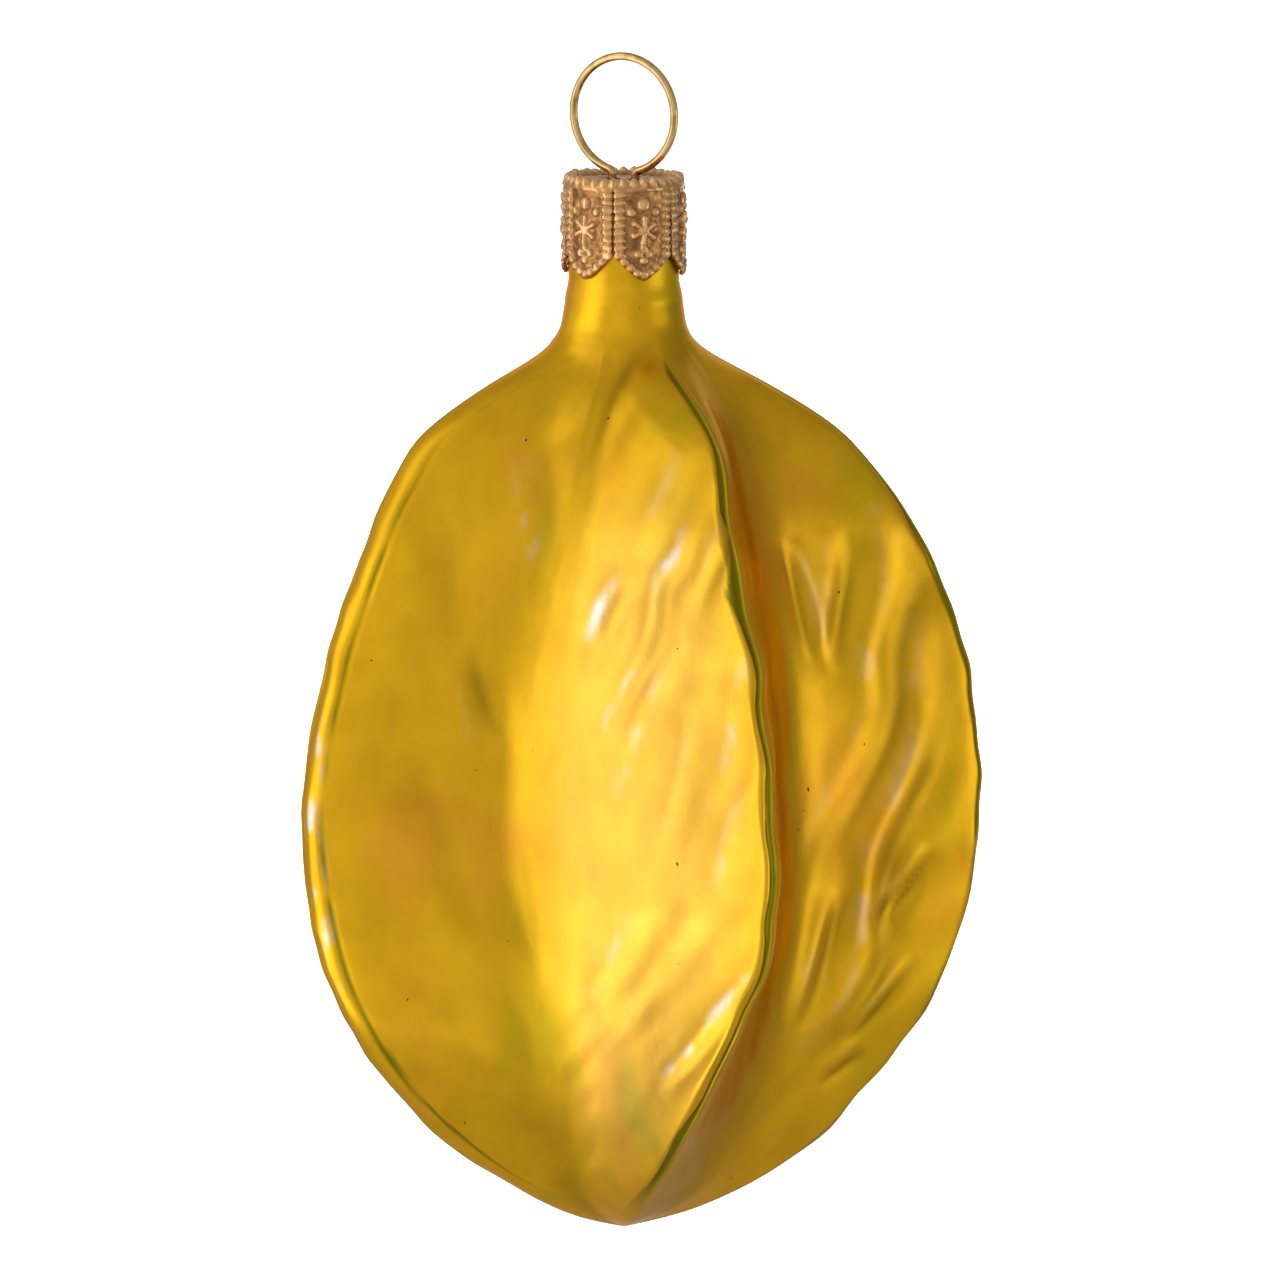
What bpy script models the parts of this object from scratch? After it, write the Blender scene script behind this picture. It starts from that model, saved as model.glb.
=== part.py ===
"""Star fruit glass ornament: a blown glass star fruit, its sheet-metal crown cap and its wire hanger.

Metres, +Z up.  The origin is the top of the inside of the hanging loop, where a hook bears.
Azimuths are measured from the front (-Y) towards the right (+X).
"""

import math

import bmesh
import bpy
import numpy as np

NAME = "star_fruit_ornament"

# ---- Driving dimensions ----------------------------------------------------------------------
WIRE_DIAMETER = 0.00075
LOOP_BORE = 0.00947            # inside diameter of the round hanging loop
LOOP_TURN = math.radians(30)   # the loop's plane, turned about the vertical
BEND_RADIUS = 0.0005           # where each wire end turns down out of the loop
LOOP_LIFT = 0.00015            # straight wire between that bend and the cap's top
LEG_SPACING = 0.00236          # between the two legs where they pass through the cap
LEG_LENGTH = 0.0205            # below the cap's top
LEG_SPLAY = 0.0066             # how far each leg's foot stands from the axis

SHEET = 0.00025                # sheet metal of the cap
CAP_HEIGHT = 0.0086            # top of the cap to the petal points
CAP_SHOULDER = 0.0006          # rounding between the cap's top and its side
PETALS = 6
PETAL_AZIMUTH = math.radians(20)
PETAL_POINT_HEIGHT = 0.0021    # the pointed part of a petal
PETAL_POINT_FLAT = 0.0003      # blunt end of a petal
PETAL_EDGE_CURVE = 1.35        # power of the way down a notch's side: 1 would be straight
NOTCH_STEPS = 6
SLIT_LENGTH = 0.0038           # straight slit above each notch
SLIT_WIDTH = 0.0003

NECK_RADIUS = 0.0049           # outside of the glass neck under the cap
NECK_LENGTH = 0.0105           # rim of the neck to the root of the fruit
NECK_ROOT_RADIUS = 0.00522
GLASS_WALL = 0.0008

FRUIT_LENGTH = 0.0832          # root of the neck to the tip
FRUIT_RADIUS = 0.0316          # axis to the crest of a full rib
VALLEY_RADIUS = 0.0174         # axis to the floor of a valley, at its widest
CREST_ROUND = 0.0026           # half width of the rounded crest, along its arc
VALLEY_ROUND = 0.0042          # half width of the rounded valley floor

# ---- Clearances ------------------------------------------------------------------------------
WIRE_CLEARANCE = 0.0003        # wire to the cap's holes and to the inside of the neck
CAP_CLEARANCE = 0.00035        # inside of the cap's side to the neck
RIM_CLEARANCE = 0.0003         # underside of the cap's top to the rim of the neck
FLARE_SLANT = 0.00045         # what the slanting wall of the flare takes off the clearance

# ---- The five ribs ---------------------------------------------------------------------------
# Azimuth, crest drift at the neck, crest drift at the tip, and the rib's reach at each of the
# shares of the length below: shares of the common crest radius.
REACH_SHARES = (0.12, 0.28, 0.58, 0.84, 0.94)
RIBS = (
    (math.radians(-65), math.radians(0), math.radians(5), (1.085, 0.998, 0.990, 0.985, 0.945)),
    (math.radians(24), math.radians(-16), math.radians(-19), (1.000, 1.000, 1.030, 1.030, 1.030)),
    (math.radians(95), math.radians(0), math.radians(-2), (0.985, 1.045, 1.012, 1.020, 1.130)),
    (math.radians(162), math.radians(0), math.radians(5), (1.000, 0.985, 0.990, 0.990, 1.000)),
    (math.radians(229), math.radians(0), math.radians(-3), (1.000, 1.000, 0.980, 0.980, 1.000)),
)
NECK_DRIFT_ENDS = 0.22         # share of the length above which a crest drifts
TIP_DRIFT_STARTS = 0.62        # and below which it drifts
TIP_DRIFT_CURVE = 1.25         # power of the way to the tip

# Crest and valley outlines: (share of the fruit's length, share of the full radius).
CREST_OUTLINE = (
    (0.085, 0.385), (0.13, 0.575), (0.20, 0.740), (0.30, 0.870), (0.42, 0.965), (0.55, 1.000),
    (0.65, 0.975), (0.74, 0.900), (0.82, 0.765), (0.88, 0.610), (0.93, 0.435), (0.97, 0.245),
    (0.99, 0.100), (1.00, 0.000),
)
VALLEY_OUTLINE = (
    (0.085, 0.540), (0.13, 0.680), (0.20, 0.800), (0.30, 0.890), (0.42, 0.965), (0.55, 1.000),
    (0.65, 0.990), (0.74, 0.945), (0.82, 0.855), (0.88, 0.725), (0.93, 0.560), (0.97, 0.345),
    (0.99, 0.155), (1.00, 0.000),
)
FLARE_SHARE = 0.045            # of the length, over which the neck has only begun to open
FLARE_RADIUS = 0.00637         # outside radius there

# A flank is straight from crest to valley where the valley's radius is under this share of the
# crest's, and gives way to a circle as the share goes from there to 1.
STRAIGHT_BELOW = 0.62
ROUNDING_LEAST = 0.02          # share of a flank that either rounding takes, at least
CREST_ROUNDING_MOST = 0.5
VALLEY_ROUNDING_MOST = 0.45

# ---- Fineness --------------------------------------------------------------------------------
HALF_GAP_STATIONS = (0.0, 0.07, 0.16, 0.34, 0.60, 0.85)   # crest to valley, share of the way
FRUIT_RINGS = 27
FINER_WHERE_NARROW = 0.4       # ring spacing on the axis against that at the full radius
TIP_RING_SHARE = 0.985         # of the path, where the last ring before the tip lies
TURN_STEPS = 48
SHOULDER_STEPS = 5
HOLE_STEPS = 24
LEG_STEPS = 14
WIRE_BEVEL = 2                 # gives twelve sides round the wire
ARC_STEP = math.radians(12)
CUT_MARGIN = 0.001             # how far a cutter runs past what it cuts

# ---- Places that follow ----------------------------------------------------------------------
WIRE_RADIUS = WIRE_DIAMETER / 2
LOOP_RADIUS = LOOP_BORE / 2 + WIRE_RADIUS
LOOP_CENTRE_Z = -LOOP_BORE / 2
LEG_OFFSET = LEG_SPACING / 2
BEND_DROP = math.sqrt((LOOP_RADIUS + BEND_RADIUS) ** 2 - (LEG_OFFSET + BEND_RADIUS) ** 2)
BEND_END_Z = LOOP_CENTRE_Z - BEND_DROP
CAP_TOP_Z = BEND_END_Z - LOOP_LIFT
CAP_TIP_Z = CAP_TOP_Z - CAP_HEIGHT
CAP_RADIUS = NECK_RADIUS + CAP_CLEARANCE + SHEET
NECK_RIM_Z = CAP_TOP_Z - SHEET - RIM_CLEARANCE
NECK_ROOT_Z = NECK_RIM_Z - NECK_LENGTH
TIP_Z = NECK_ROOT_Z - FRUIT_LENGTH
NECK_BORE_RADIUS = NECK_RADIUS - GLASS_WALL
LEG_BEARING = NECK_BORE_RADIUS - WIRE_CLEARANCE - WIRE_RADIUS
LEG_AT_FLARE = FLARE_RADIUS - GLASS_WALL - FLARE_SLANT - WIRE_CLEARANCE - WIRE_RADIUS


# ---- Scene set-up ----------------------------------------------------------------------------
def clear_scene():
    """Remove every object that the scene starts with."""
    for item in list(bpy.data.objects):
        bpy.data.objects.remove(item, do_unlink=True)


def new_collection(name):
    """Make a collection and link it into the scene."""
    collection = bpy.data.collections.new(name)
    bpy.context.scene.collection.children.link(collection)
    return collection


def new_material(name, colour, roughness, metallic):
    """Make a Principled material from a linear colour."""
    material = bpy.data.materials.new(name)
    material.use_nodes = True
    shader = material.node_tree.nodes["Principled BSDF"]
    shader.inputs["Base Color"].default_value = (*colour, 1.0)
    shader.inputs["Roughness"].default_value = roughness
    shader.inputs["Metallic"].default_value = metallic
    return material


def new_object(name, mesh, collection, material=None):
    """Make an object from a mesh, in a collection, with a material."""
    item = bpy.data.objects.new(name, mesh)
    collection.objects.link(item)
    if material:
        mesh.materials.append(material)
    return item


def shade_round(mesh, sharp_from):
    """Shade a mesh smooth and keep the edges that turn more than an angle."""
    mesh.shade_smooth()
    mesh.set_sharp_from_angle(angle=sharp_from)


def make_cutter(item):
    """Show an object as a wire cutter that is never rendered."""
    item.display_type = "WIRE"
    item.hide_render = True
    return item


def cut(item, cutter):
    """Take a cutter out of an object."""
    boolean = item.modifiers.new(f"cut_{cutter.name}", "BOOLEAN")
    boolean.operation = "DIFFERENCE"
    boolean.solver = "EXACT"
    boolean.object = cutter


# ---- Glass body ------------------------------------------------------------------------------
def smooth_curve(knots, at):
    """Read a curve through (place, value) knots with Catmull-Rom slopes."""
    place, value = np.array(knots).T
    slope = np.gradient(value, place)
    span = np.clip(np.searchsorted(place, at, side="right") - 1, 0, len(place) - 2)
    width = place[span + 1] - place[span]
    part = (at - place[span]) / width
    start = (1 + 2 * part) * (1 - part) ** 2 * value[span]
    start_slope = part * (1 - part) ** 2 * width * slope[span]
    end = part**2 * (3 - 2 * part) * value[span + 1]
    end_slope = part**2 * (part - 1) * width * slope[span + 1]
    return start + start_slope + end + end_slope


def outline_radius(outline, full_radius, share):
    """Radius of a crest or valley line at shares of the fruit's length."""
    root = (
        (0.0, NECK_ROOT_RADIUS / full_radius),
        (FLARE_SHARE, FLARE_RADIUS / full_radius),
    )
    return full_radius * smooth_curve(root + outline, share)


def ring_shares():
    """Shares of the length at which the fruit's rings lie, closer together where it is narrow."""
    share = np.linspace(0, 1, 2000)
    radius = outline_radius(CREST_OUTLINE, FRUIT_RADIUS, share)
    step = np.hypot(np.diff(radius), FRUIT_LENGTH * np.diff(share))
    middle = (radius[1:] + radius[:-1]) / 2
    weight = FINER_WHERE_NARROW + (1 - FINER_WHERE_NARROW) * middle / FRUIT_RADIUS
    path = np.concatenate([[0], np.cumsum(step / weight)])
    return np.interp(np.linspace(0, TIP_RING_SHARE, FRUIT_RINGS) * path[-1], path, share)


def ease(place, rounding_start, rounding_end):
    """Run from 0 to 1 with a parabola at each end and a straight run between them."""
    full = 1 - (rounding_start + rounding_end) / 2
    start = place**2 / (2 * rounding_start)
    middle = place - rounding_start / 2
    end = full - (1 - place) ** 2 / (2 * rounding_end)
    eased = np.where(place < rounding_start, start, middle)
    return np.where(place > 1 - rounding_end, end, eased) / full


def flank_radius(place, half_gap, crest, valley):
    """Radius on a flank, from its crest (place 0) to its valley (place 1).

    The flank is the straight line between the two, seen from the axis, with both ends rounded.
    Where crest and valley come together, at the neck, it gives way to a circle.
    """
    round_crest = np.clip(CREST_ROUND / (half_gap * crest), ROUNDING_LEAST, CREST_ROUNDING_MOST)
    round_valley = np.clip(VALLEY_ROUND / (half_gap * valley), ROUNDING_LEAST, VALLEY_ROUNDING_MOST)
    way = ease(place, round_crest, round_valley)
    spread = crest * np.sin(way * half_gap) + valley * np.sin((1 - way) * half_gap)
    straight = crest * valley * np.sin(half_gap) / spread
    circle = crest + (valley - crest) * way
    roundness = np.clip((valley / crest - STRAIGHT_BELOW) / (1 - STRAIGHT_BELOW), 0, 1)
    return straight + (circle - straight) * roundness


def rib_azimuth(rib, share):
    """Azimuth of a crest at shares of the length: its own, with a drift at each end."""
    azimuth, neck_drift, tip_drift, _ = rib
    from_neck = np.clip(1 - share / NECK_DRIFT_ENDS, 0, 1)
    to_tip = np.clip((share - TIP_DRIFT_STARTS) / (1 - TIP_DRIFT_STARTS), 0, 1)
    return azimuth + neck_drift * from_neck**2 + tip_drift * to_tip**TIP_DRIFT_CURVE


def rib_reach(rib, share):
    """Reach of a rib against the common crest line: 1 at the neck, then its own reaches."""
    return np.interp(share, (0.0, *REACH_SHARES), (1.0, *rib[3]))


def fruit_rings(share):
    """Rings of points around the fruit, one row for each share of the length."""
    crest_line = outline_radius(CREST_OUTLINE, FRUIT_RADIUS, share)
    valley_line = outline_radius(VALLEY_OUTLINE, VALLEY_RADIUS, share)
    valley_line = np.minimum(valley_line, crest_line)
    columns = []
    for index, rib in enumerate(RIBS):
        following = RIBS[(index + 1) % len(RIBS)]
        lap = math.tau if index == len(RIBS) - 1 else 0.0
        here = rib_azimuth(rib, share)
        there = rib_azimuth(following, share) + lap
        half_gap = (there - here) / 2
        for place in HALF_GAP_STATIONS:
            crest = crest_line * rib_reach(rib, share)
            radius = flank_radius(place, half_gap, crest, valley_line)
            columns.append((here + place * half_gap, radius))
        for place in (1.0, *HALF_GAP_STATIONS[:0:-1]):
            crest = crest_line * rib_reach(following, share)
            radius = flank_radius(place, half_gap, crest, valley_line)
            columns.append((there - place * half_gap, radius))
    azimuth = np.array([column[0] for column in columns]).T
    radius = np.array([column[1] for column in columns]).T
    height = np.broadcast_to((NECK_ROOT_Z - FRUIT_LENGTH * share)[:, None], radius.shape)
    return np.stack([radius * np.sin(azimuth), -radius * np.cos(azimuth), height], axis=-1)


def neck_rings(azimuths):
    """Rings of the neck, from its rim to just above its root."""
    levels = (
        (NECK_RIM_Z, NECK_RADIUS),
        ((NECK_RIM_Z + CAP_TIP_Z) / 2, NECK_RADIUS),
        (CAP_TIP_Z - RIM_CLEARANCE, NECK_RADIUS),
        ((CAP_TIP_Z + NECK_ROOT_Z) / 2, (NECK_RADIUS + NECK_ROOT_RADIUS) / 2),
    )
    rings = []
    for height, radius in levels:
        ring = np.stack([radius * np.sin(azimuths), -radius * np.cos(azimuths),
                         np.full_like(azimuths, height)], axis=-1)
        rings.append(ring)
    return np.array(rings)


def loft(name, rings, tip):
    """Skin rings that run downwards, and close them on a tip."""
    mesh = bpy.data.meshes.new(name)
    form = bmesh.new()
    rows = [[form.verts.new(point) for point in ring] for ring in rings]
    for upper, lower in zip(rows, rows[1:]):
        for here in range(len(upper)):
            there = (here + 1) % len(upper)
            form.faces.new((upper[here], lower[here], lower[there], upper[there]))
    tip_point = form.verts.new(tip)
    last = rows[-1]
    for here in range(len(last)):
        form.faces.new((last[here], tip_point, last[(here + 1) % len(last)]))
    form.to_mesh(mesh)
    form.free()
    return mesh


def build_glass_body(collection):
    """The hollow glass fruit with its open neck, as one shell."""
    fruit = fruit_rings(ring_shares())
    first = fruit[0]
    neck = neck_rings(np.arctan2(first[:, 0], -first[:, 1]))
    mesh = loft("glass_body", np.concatenate([neck, fruit]), (0.0, 0.0, TIP_Z))
    glass = new_material("lacquered_glass", (0.72, 0.44, 0.06), 0.32, 0.55)
    body = new_object("glass_body", mesh, collection, glass)
    shade_round(mesh, math.radians(60))
    shell = body.modifiers.new("wall", "SOLIDIFY")
    shell.thickness = GLASS_WALL
    shell.offset = -1
    shell.use_rim = True


# ---- Crown cap -------------------------------------------------------------------------------
def cap_profile():
    """Outside of the cap from the middle of its top, over the shoulder, to the petal points."""
    points = [(0.0, CAP_TOP_Z), (CAP_RADIUS / 2, CAP_TOP_Z)]
    for turn in np.linspace(0, math.pi / 2, SHOULDER_STEPS):
        points.append((
            CAP_RADIUS - CAP_SHOULDER + CAP_SHOULDER * math.sin(turn),
            CAP_TOP_Z - CAP_SHOULDER + CAP_SHOULDER * math.cos(turn),
        ))
    points.append((CAP_RADIUS, CAP_TIP_Z))
    return points


def turned_mesh(name, profile):
    """Mesh of a profile's points in the XZ plane, joined in order."""
    mesh = bpy.data.meshes.new(name)
    form = bmesh.new()
    points = [form.verts.new((radius, 0.0, height)) for radius, height in profile]
    for start, end in zip(points, points[1:]):
        form.edges.new((start, end))
    form.to_mesh(mesh)
    form.free()
    return mesh


def notch_outline():
    """Half outline of a slit and the notch under it: (across, height), from top to bottom."""
    half_petal = math.pi / PETALS
    point_across = CAP_RADIUS * math.sin(half_petal) - PETAL_POINT_FLAT / 2
    notch_z = CAP_TIP_Z + PETAL_POINT_HEIGHT
    outline = [(SLIT_WIDTH / 2, notch_z + SLIT_LENGTH)]
    for share in np.linspace(0, 1, NOTCH_STEPS):
        across = SLIT_WIDTH / 2 + (point_across - SLIT_WIDTH / 2) * share
        outline.append((across, notch_z - PETAL_POINT_HEIGHT * share**PETAL_EDGE_CURVE))
    outline.append((point_across, CAP_TIP_Z - CUT_MARGIN))
    return outline


def flat_cutter(name, outline, azimuth, collection):
    """Cutter with a flat outline, pushed out through the cap's side at an azimuth."""
    reach = 2 * CAP_CLEARANCE + CUT_MARGIN + SHEET
    curve = bpy.data.curves.new(name, "CURVE")
    curve.dimensions = "2D"
    curve.fill_mode = "BOTH"
    curve.extrude = reach
    spline = curve.splines.new("POLY")
    spline.points.add(len(outline) - 1)
    for point, (across, height) in zip(spline.points, outline):
        point.co = (across, height, 0.0, 1.0)
    spline.use_cyclic_u = True
    drawn = bpy.data.objects.new(name + "_outline", curve)
    collection.objects.link(drawn)
    bpy.context.view_layer.update()
    mesh = bpy.data.meshes.new_from_object(drawn.evaluated_get(bpy.context.evaluated_depsgraph_get()))
    bpy.data.objects.remove(drawn, do_unlink=True)
    weld(mesh)
    cutter = new_object(name, mesh, collection)
    cutter.rotation_euler = (math.pi / 2, 0.0, azimuth)
    middle = CAP_RADIUS * math.cos(math.pi / PETALS / 2)
    cutter.location = (middle * math.sin(azimuth), -middle * math.cos(azimuth), 0.0)
    return make_cutter(cutter)


def weld(mesh):
    """Join a mesh's loose caps and face it outwards."""
    form = bmesh.new()
    form.from_mesh(mesh)
    bmesh.ops.remove_doubles(form, verts=form.verts, dist=0.000001)
    bmesh.ops.recalc_face_normals(form, faces=form.faces)
    form.to_mesh(mesh)
    form.free()


def hole_cutter(name, side, collection):
    """Round cutter for one wire hole in the cap's top."""
    mesh = bpy.data.meshes.new(name)
    form = bmesh.new()
    bmesh.ops.create_cone(
        form, cap_ends=True, segments=HOLE_STEPS, radius1=WIRE_RADIUS + WIRE_CLEARANCE,
        radius2=WIRE_RADIUS + WIRE_CLEARANCE, depth=SHEET + 2 * CUT_MARGIN,
    )
    form.to_mesh(mesh)
    form.free()
    cutter = new_object(name, mesh, collection)
    across = side * LEG_OFFSET
    cutter.location = (across * math.cos(LOOP_TURN), -across * math.sin(LOOP_TURN), CAP_TOP_Z)
    return make_cutter(cutter)


def build_crown_cap(collection, cutters):
    """The stamped cap: a round cup with two wire holes and six slit, pointed petals."""
    mesh = turned_mesh("crown_cap", cap_profile())
    copper = new_material("copper_sheet", (0.62, 0.33, 0.14), 0.35, 1.0)
    cap = new_object("crown_cap", mesh, collection, copper)
    turn = cap.modifiers.new("turn", "SCREW")
    turn.axis = "Z"
    turn.angle = math.tau
    turn.steps = TURN_STEPS
    turn.render_steps = TURN_STEPS
    turn.use_merge_vertices = True
    turn.merge_threshold = 0.00001
    turn.use_smooth_shade = True
    sheet = cap.modifiers.new("sheet", "SOLIDIFY")
    sheet.thickness = SHEET
    sheet.offset = -1
    half = notch_outline()
    outline = half + [(-across, height) for across, height in reversed(half)]
    for number in range(PETALS):
        azimuth = PETAL_AZIMUTH + (number + 0.5) * math.tau / PETALS
        cut(cap, flat_cutter(f"notch_{number + 1}", outline, azimuth, cutters))
    for side in (-1, 1):
        cut(cap, hole_cutter(f"wire_hole_{'left' if side < 0 else 'right'}", side, cutters))


# ---- Hanger wire -----------------------------------------------------------------------------
def half_wire():
    """Right half of the wire in its own plane: (across, height), from the loop's top to the foot."""
    join = math.atan2(LEG_OFFSET + BEND_RADIUS, BEND_DROP)
    points = []
    for turn in np.arange(0.0, math.pi - join, ARC_STEP):
        points.append((LOOP_RADIUS * math.sin(turn), LOOP_CENTRE_Z + LOOP_RADIUS * math.cos(turn)))
    for turn in np.linspace(join, math.pi / 2, 5):
        points.append((
            LEG_OFFSET + BEND_RADIUS - BEND_RADIUS * math.sin(turn),
            BEND_END_Z + BEND_RADIUS * math.cos(turn),
        ))
    bearing_z = CAP_TIP_Z - RIM_CLEARANCE
    leg = (
        (0.0, LEG_OFFSET),
        (2 * SHEET + RIM_CLEARANCE, LEG_OFFSET),
        (CAP_TOP_Z - bearing_z, LEG_BEARING),
        (CAP_TOP_Z - NECK_ROOT_Z, LEG_BEARING + WIRE_CLEARANCE / 2),
        (CAP_TOP_Z - NECK_ROOT_Z + FLARE_SHARE * FRUIT_LENGTH, LEG_AT_FLARE),
        (LEG_LENGTH, LEG_SPLAY),
    )
    for drop in np.linspace(0, LEG_LENGTH, LEG_STEPS)[1:]:
        points.append((float(smooth_curve(leg, drop)), CAP_TOP_Z - drop))
    return points


def build_hanger_wire(collection):
    """The springy wire: a round loop whose two legs pass through the cap into the neck."""
    half = half_wire()
    route = [(-across, height) for across, height in reversed(half[1:])] + half
    curve = bpy.data.curves.new("hanger_wire", "CURVE")
    curve.dimensions = "3D"
    curve.bevel_depth = WIRE_RADIUS
    curve.bevel_resolution = WIRE_BEVEL
    curve.use_fill_caps = True
    spline = curve.splines.new("POLY")
    spline.points.add(len(route) - 1)
    for point, (across, height) in zip(spline.points, route):
        point.co = (across, 0.0, height, 1.0)
    wire = bpy.data.objects.new("hanger_wire", curve)
    wire.rotation_euler = (0.0, 0.0, -LOOP_TURN)
    collection.objects.link(wire)
    curve.materials.append(new_material("brass_wire", (0.55, 0.36, 0.12), 0.3, 1.0))


def main():
    """Build the ornament."""
    clear_scene()
    parts = new_collection(NAME)
    cutters = new_collection(NAME + "_cutters")
    build_glass_body(parts)
    build_crown_cap(parts, cutters)
    build_hanger_wire(parts)


main()
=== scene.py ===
"""Looks of the star fruit ornament: blown glass, stamped crown cap, sprung wire, and the studio.

Sizes are in millimetres and are turned into metres where a mesh is made.  Azimuths run from the
front (-Y) towards the right (+X).  The origin is the top of the inside of the hanging loop.
"""
import logging
import math
from dataclasses import dataclass, field
from enum import IntEnum
from typing import Sequence

import bmesh
import bpy
import numpy as np
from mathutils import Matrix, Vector


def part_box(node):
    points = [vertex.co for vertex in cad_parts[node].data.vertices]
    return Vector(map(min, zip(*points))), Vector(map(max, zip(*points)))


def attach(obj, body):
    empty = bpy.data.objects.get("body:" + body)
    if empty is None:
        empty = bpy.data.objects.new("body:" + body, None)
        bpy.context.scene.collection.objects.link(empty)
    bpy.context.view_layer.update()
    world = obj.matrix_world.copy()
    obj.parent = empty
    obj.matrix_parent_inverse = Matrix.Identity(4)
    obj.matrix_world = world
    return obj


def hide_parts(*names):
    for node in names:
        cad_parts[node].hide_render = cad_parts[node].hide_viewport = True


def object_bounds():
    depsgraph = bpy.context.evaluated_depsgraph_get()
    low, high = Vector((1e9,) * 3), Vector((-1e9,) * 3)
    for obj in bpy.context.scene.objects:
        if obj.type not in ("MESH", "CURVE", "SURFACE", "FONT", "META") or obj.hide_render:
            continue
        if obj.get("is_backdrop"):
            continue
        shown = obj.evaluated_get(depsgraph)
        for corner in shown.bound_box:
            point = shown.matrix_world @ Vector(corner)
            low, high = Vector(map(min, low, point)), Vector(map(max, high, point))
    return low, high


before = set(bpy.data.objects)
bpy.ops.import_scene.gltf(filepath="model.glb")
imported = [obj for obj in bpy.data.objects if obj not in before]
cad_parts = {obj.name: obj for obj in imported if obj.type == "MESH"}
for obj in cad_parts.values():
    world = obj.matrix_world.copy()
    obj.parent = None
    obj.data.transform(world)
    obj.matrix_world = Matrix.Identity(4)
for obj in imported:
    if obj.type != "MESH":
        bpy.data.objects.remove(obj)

LOG = logging.getLogger("star_fruit_ornament")
MM = 0.001
BODY = "root"
Curve = Sequence[tuple[float, float]]


# ==== Shared mathematics =======================================================================
def smooth_curve(knots: Curve, at: np.ndarray) -> np.ndarray:
    """Read a curve through knots: cubic Hermite spans with Catmull-Rom slopes.

    Args:
        knots: (place, value) pairs in rising order of place.
        at: places to read.

    Returns:
        The value at each place.
    """
    place, value = np.array(knots, dtype=float).T
    slope = np.gradient(value, place)
    span = np.clip(np.searchsorted(place, at, side="right") - 1, 0, len(place) - 2)
    width = place[span + 1] - place[span]
    part = (at - place[span]) / width
    start = (1 + 2 * part) * (1 - part) ** 2 * value[span]
    start_slope = part * (1 - part) ** 2 * width * slope[span]
    end = part**2 * (3 - 2 * part) * value[span + 1]
    end_slope = part**2 * (part - 1) * width * slope[span + 1]
    return start + start_slope + end + end_slope


def ramp(low: float, high: float, at: np.ndarray) -> np.ndarray:
    """Smooth step from 0 at low to 1 at high: 3p squared less 2p cubed."""
    part = np.clip((at - low) / (high - low), 0.0, 1.0)
    return part * part * (3 - 2 * part)


def soften(line: np.ndarray, reach: float) -> np.ndarray:
    """Average a line sampled evenly from 0 to 1 with a bell-shaped weight, its two ends held.

    Args:
        line: the samples.
        reach: the bell's standard deviation, as a share of the whole line.

    Returns:
        The softened line.
    """
    count = int(3 * reach * len(line))
    weight = np.exp(-0.5 * (np.arange(-count, count + 1) / (reach * len(line))) ** 2)
    before = 2 * line[0] - line[count:0:-1]
    beyond = 2 * line[-1] - line[-2:-count - 2:-1]
    return np.convolve(np.concatenate([before, line, beyond]), weight / weight.sum(), mode="valid")


def wave_noise(across: np.ndarray, along: np.ndarray, seed: int) -> np.ndarray:
    """Smooth noise in the plane, about from -1 to 1, with no grain of its own.

    Formula: the sum of twelve sine waves of random direction, pitch and phase.

    Args:
        across: first coordinate; a hump or a hollow is about one unit wide.
        along: second coordinate, in the same unit.
        seed: seed of the waves.

    Returns:
        The noise at each point.
    """
    draw = np.random.default_rng(seed)
    total = np.zeros(np.broadcast(across, along).shape)
    for _ in range(12):
        heading, phase = draw.uniform(0, math.tau, 2)
        pitch = math.tau * draw.uniform(0.28, 0.62)
        total += np.sin(pitch * (across * math.cos(heading) + along * math.sin(heading)) + phase)
    return total / 4.9


def grid_normals(points: np.ndarray) -> np.ndarray:
    """Unit normals of a grid of points that closes round its columns.

    Formula: the cross product of the run down the rows and the run round the columns.

    Args:
        points: the grid: rows by columns by three coordinates.

    Returns:
        One normal for each point, pointing outwards.
    """
    down = np.gradient(points, axis=0)
    around = np.roll(points, -1, axis=1) - np.roll(points, 1, axis=1)
    normal = np.cross(down, around)
    return normal / np.maximum(np.linalg.norm(normal, axis=-1, keepdims=True), 1e-12)


def grid_quads(rows: int, columns: int, start: int = 0, closed: bool = True) -> np.ndarray:
    """Corner numbers of the faces of a grid whose rows run down and columns run to the right.

    Args:
        rows: number of rows.
        columns: number of columns.
        start: number of the grid's first point.
        closed: whether the last column joins the first.

    Returns:
        One row of four corners for each face, turning outwards.
    """
    across = np.arange(columns if closed else columns - 1)
    row, column = np.meshgrid(np.arange(rows - 1), across, indexing="ij")
    beside = (column + 1) % columns
    corners = (row * columns + column, (row + 1) * columns + column,
               (row + 1) * columns + beside, row * columns + beside)
    return start + np.stack(corners, axis=-1).reshape(-1, 4)


def fan(ring: np.ndarray, middle: int) -> np.ndarray:
    """Triangles from a closed ring, which runs to the right, to one point below it.

    Args:
        ring: numbers of the ring's points.
        middle: number of the point.

    Returns:
        One row of three corners for each face, turning outwards.
    """
    return np.stack([ring, np.full(len(ring), middle), np.roll(ring, -1)], axis=1)


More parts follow.
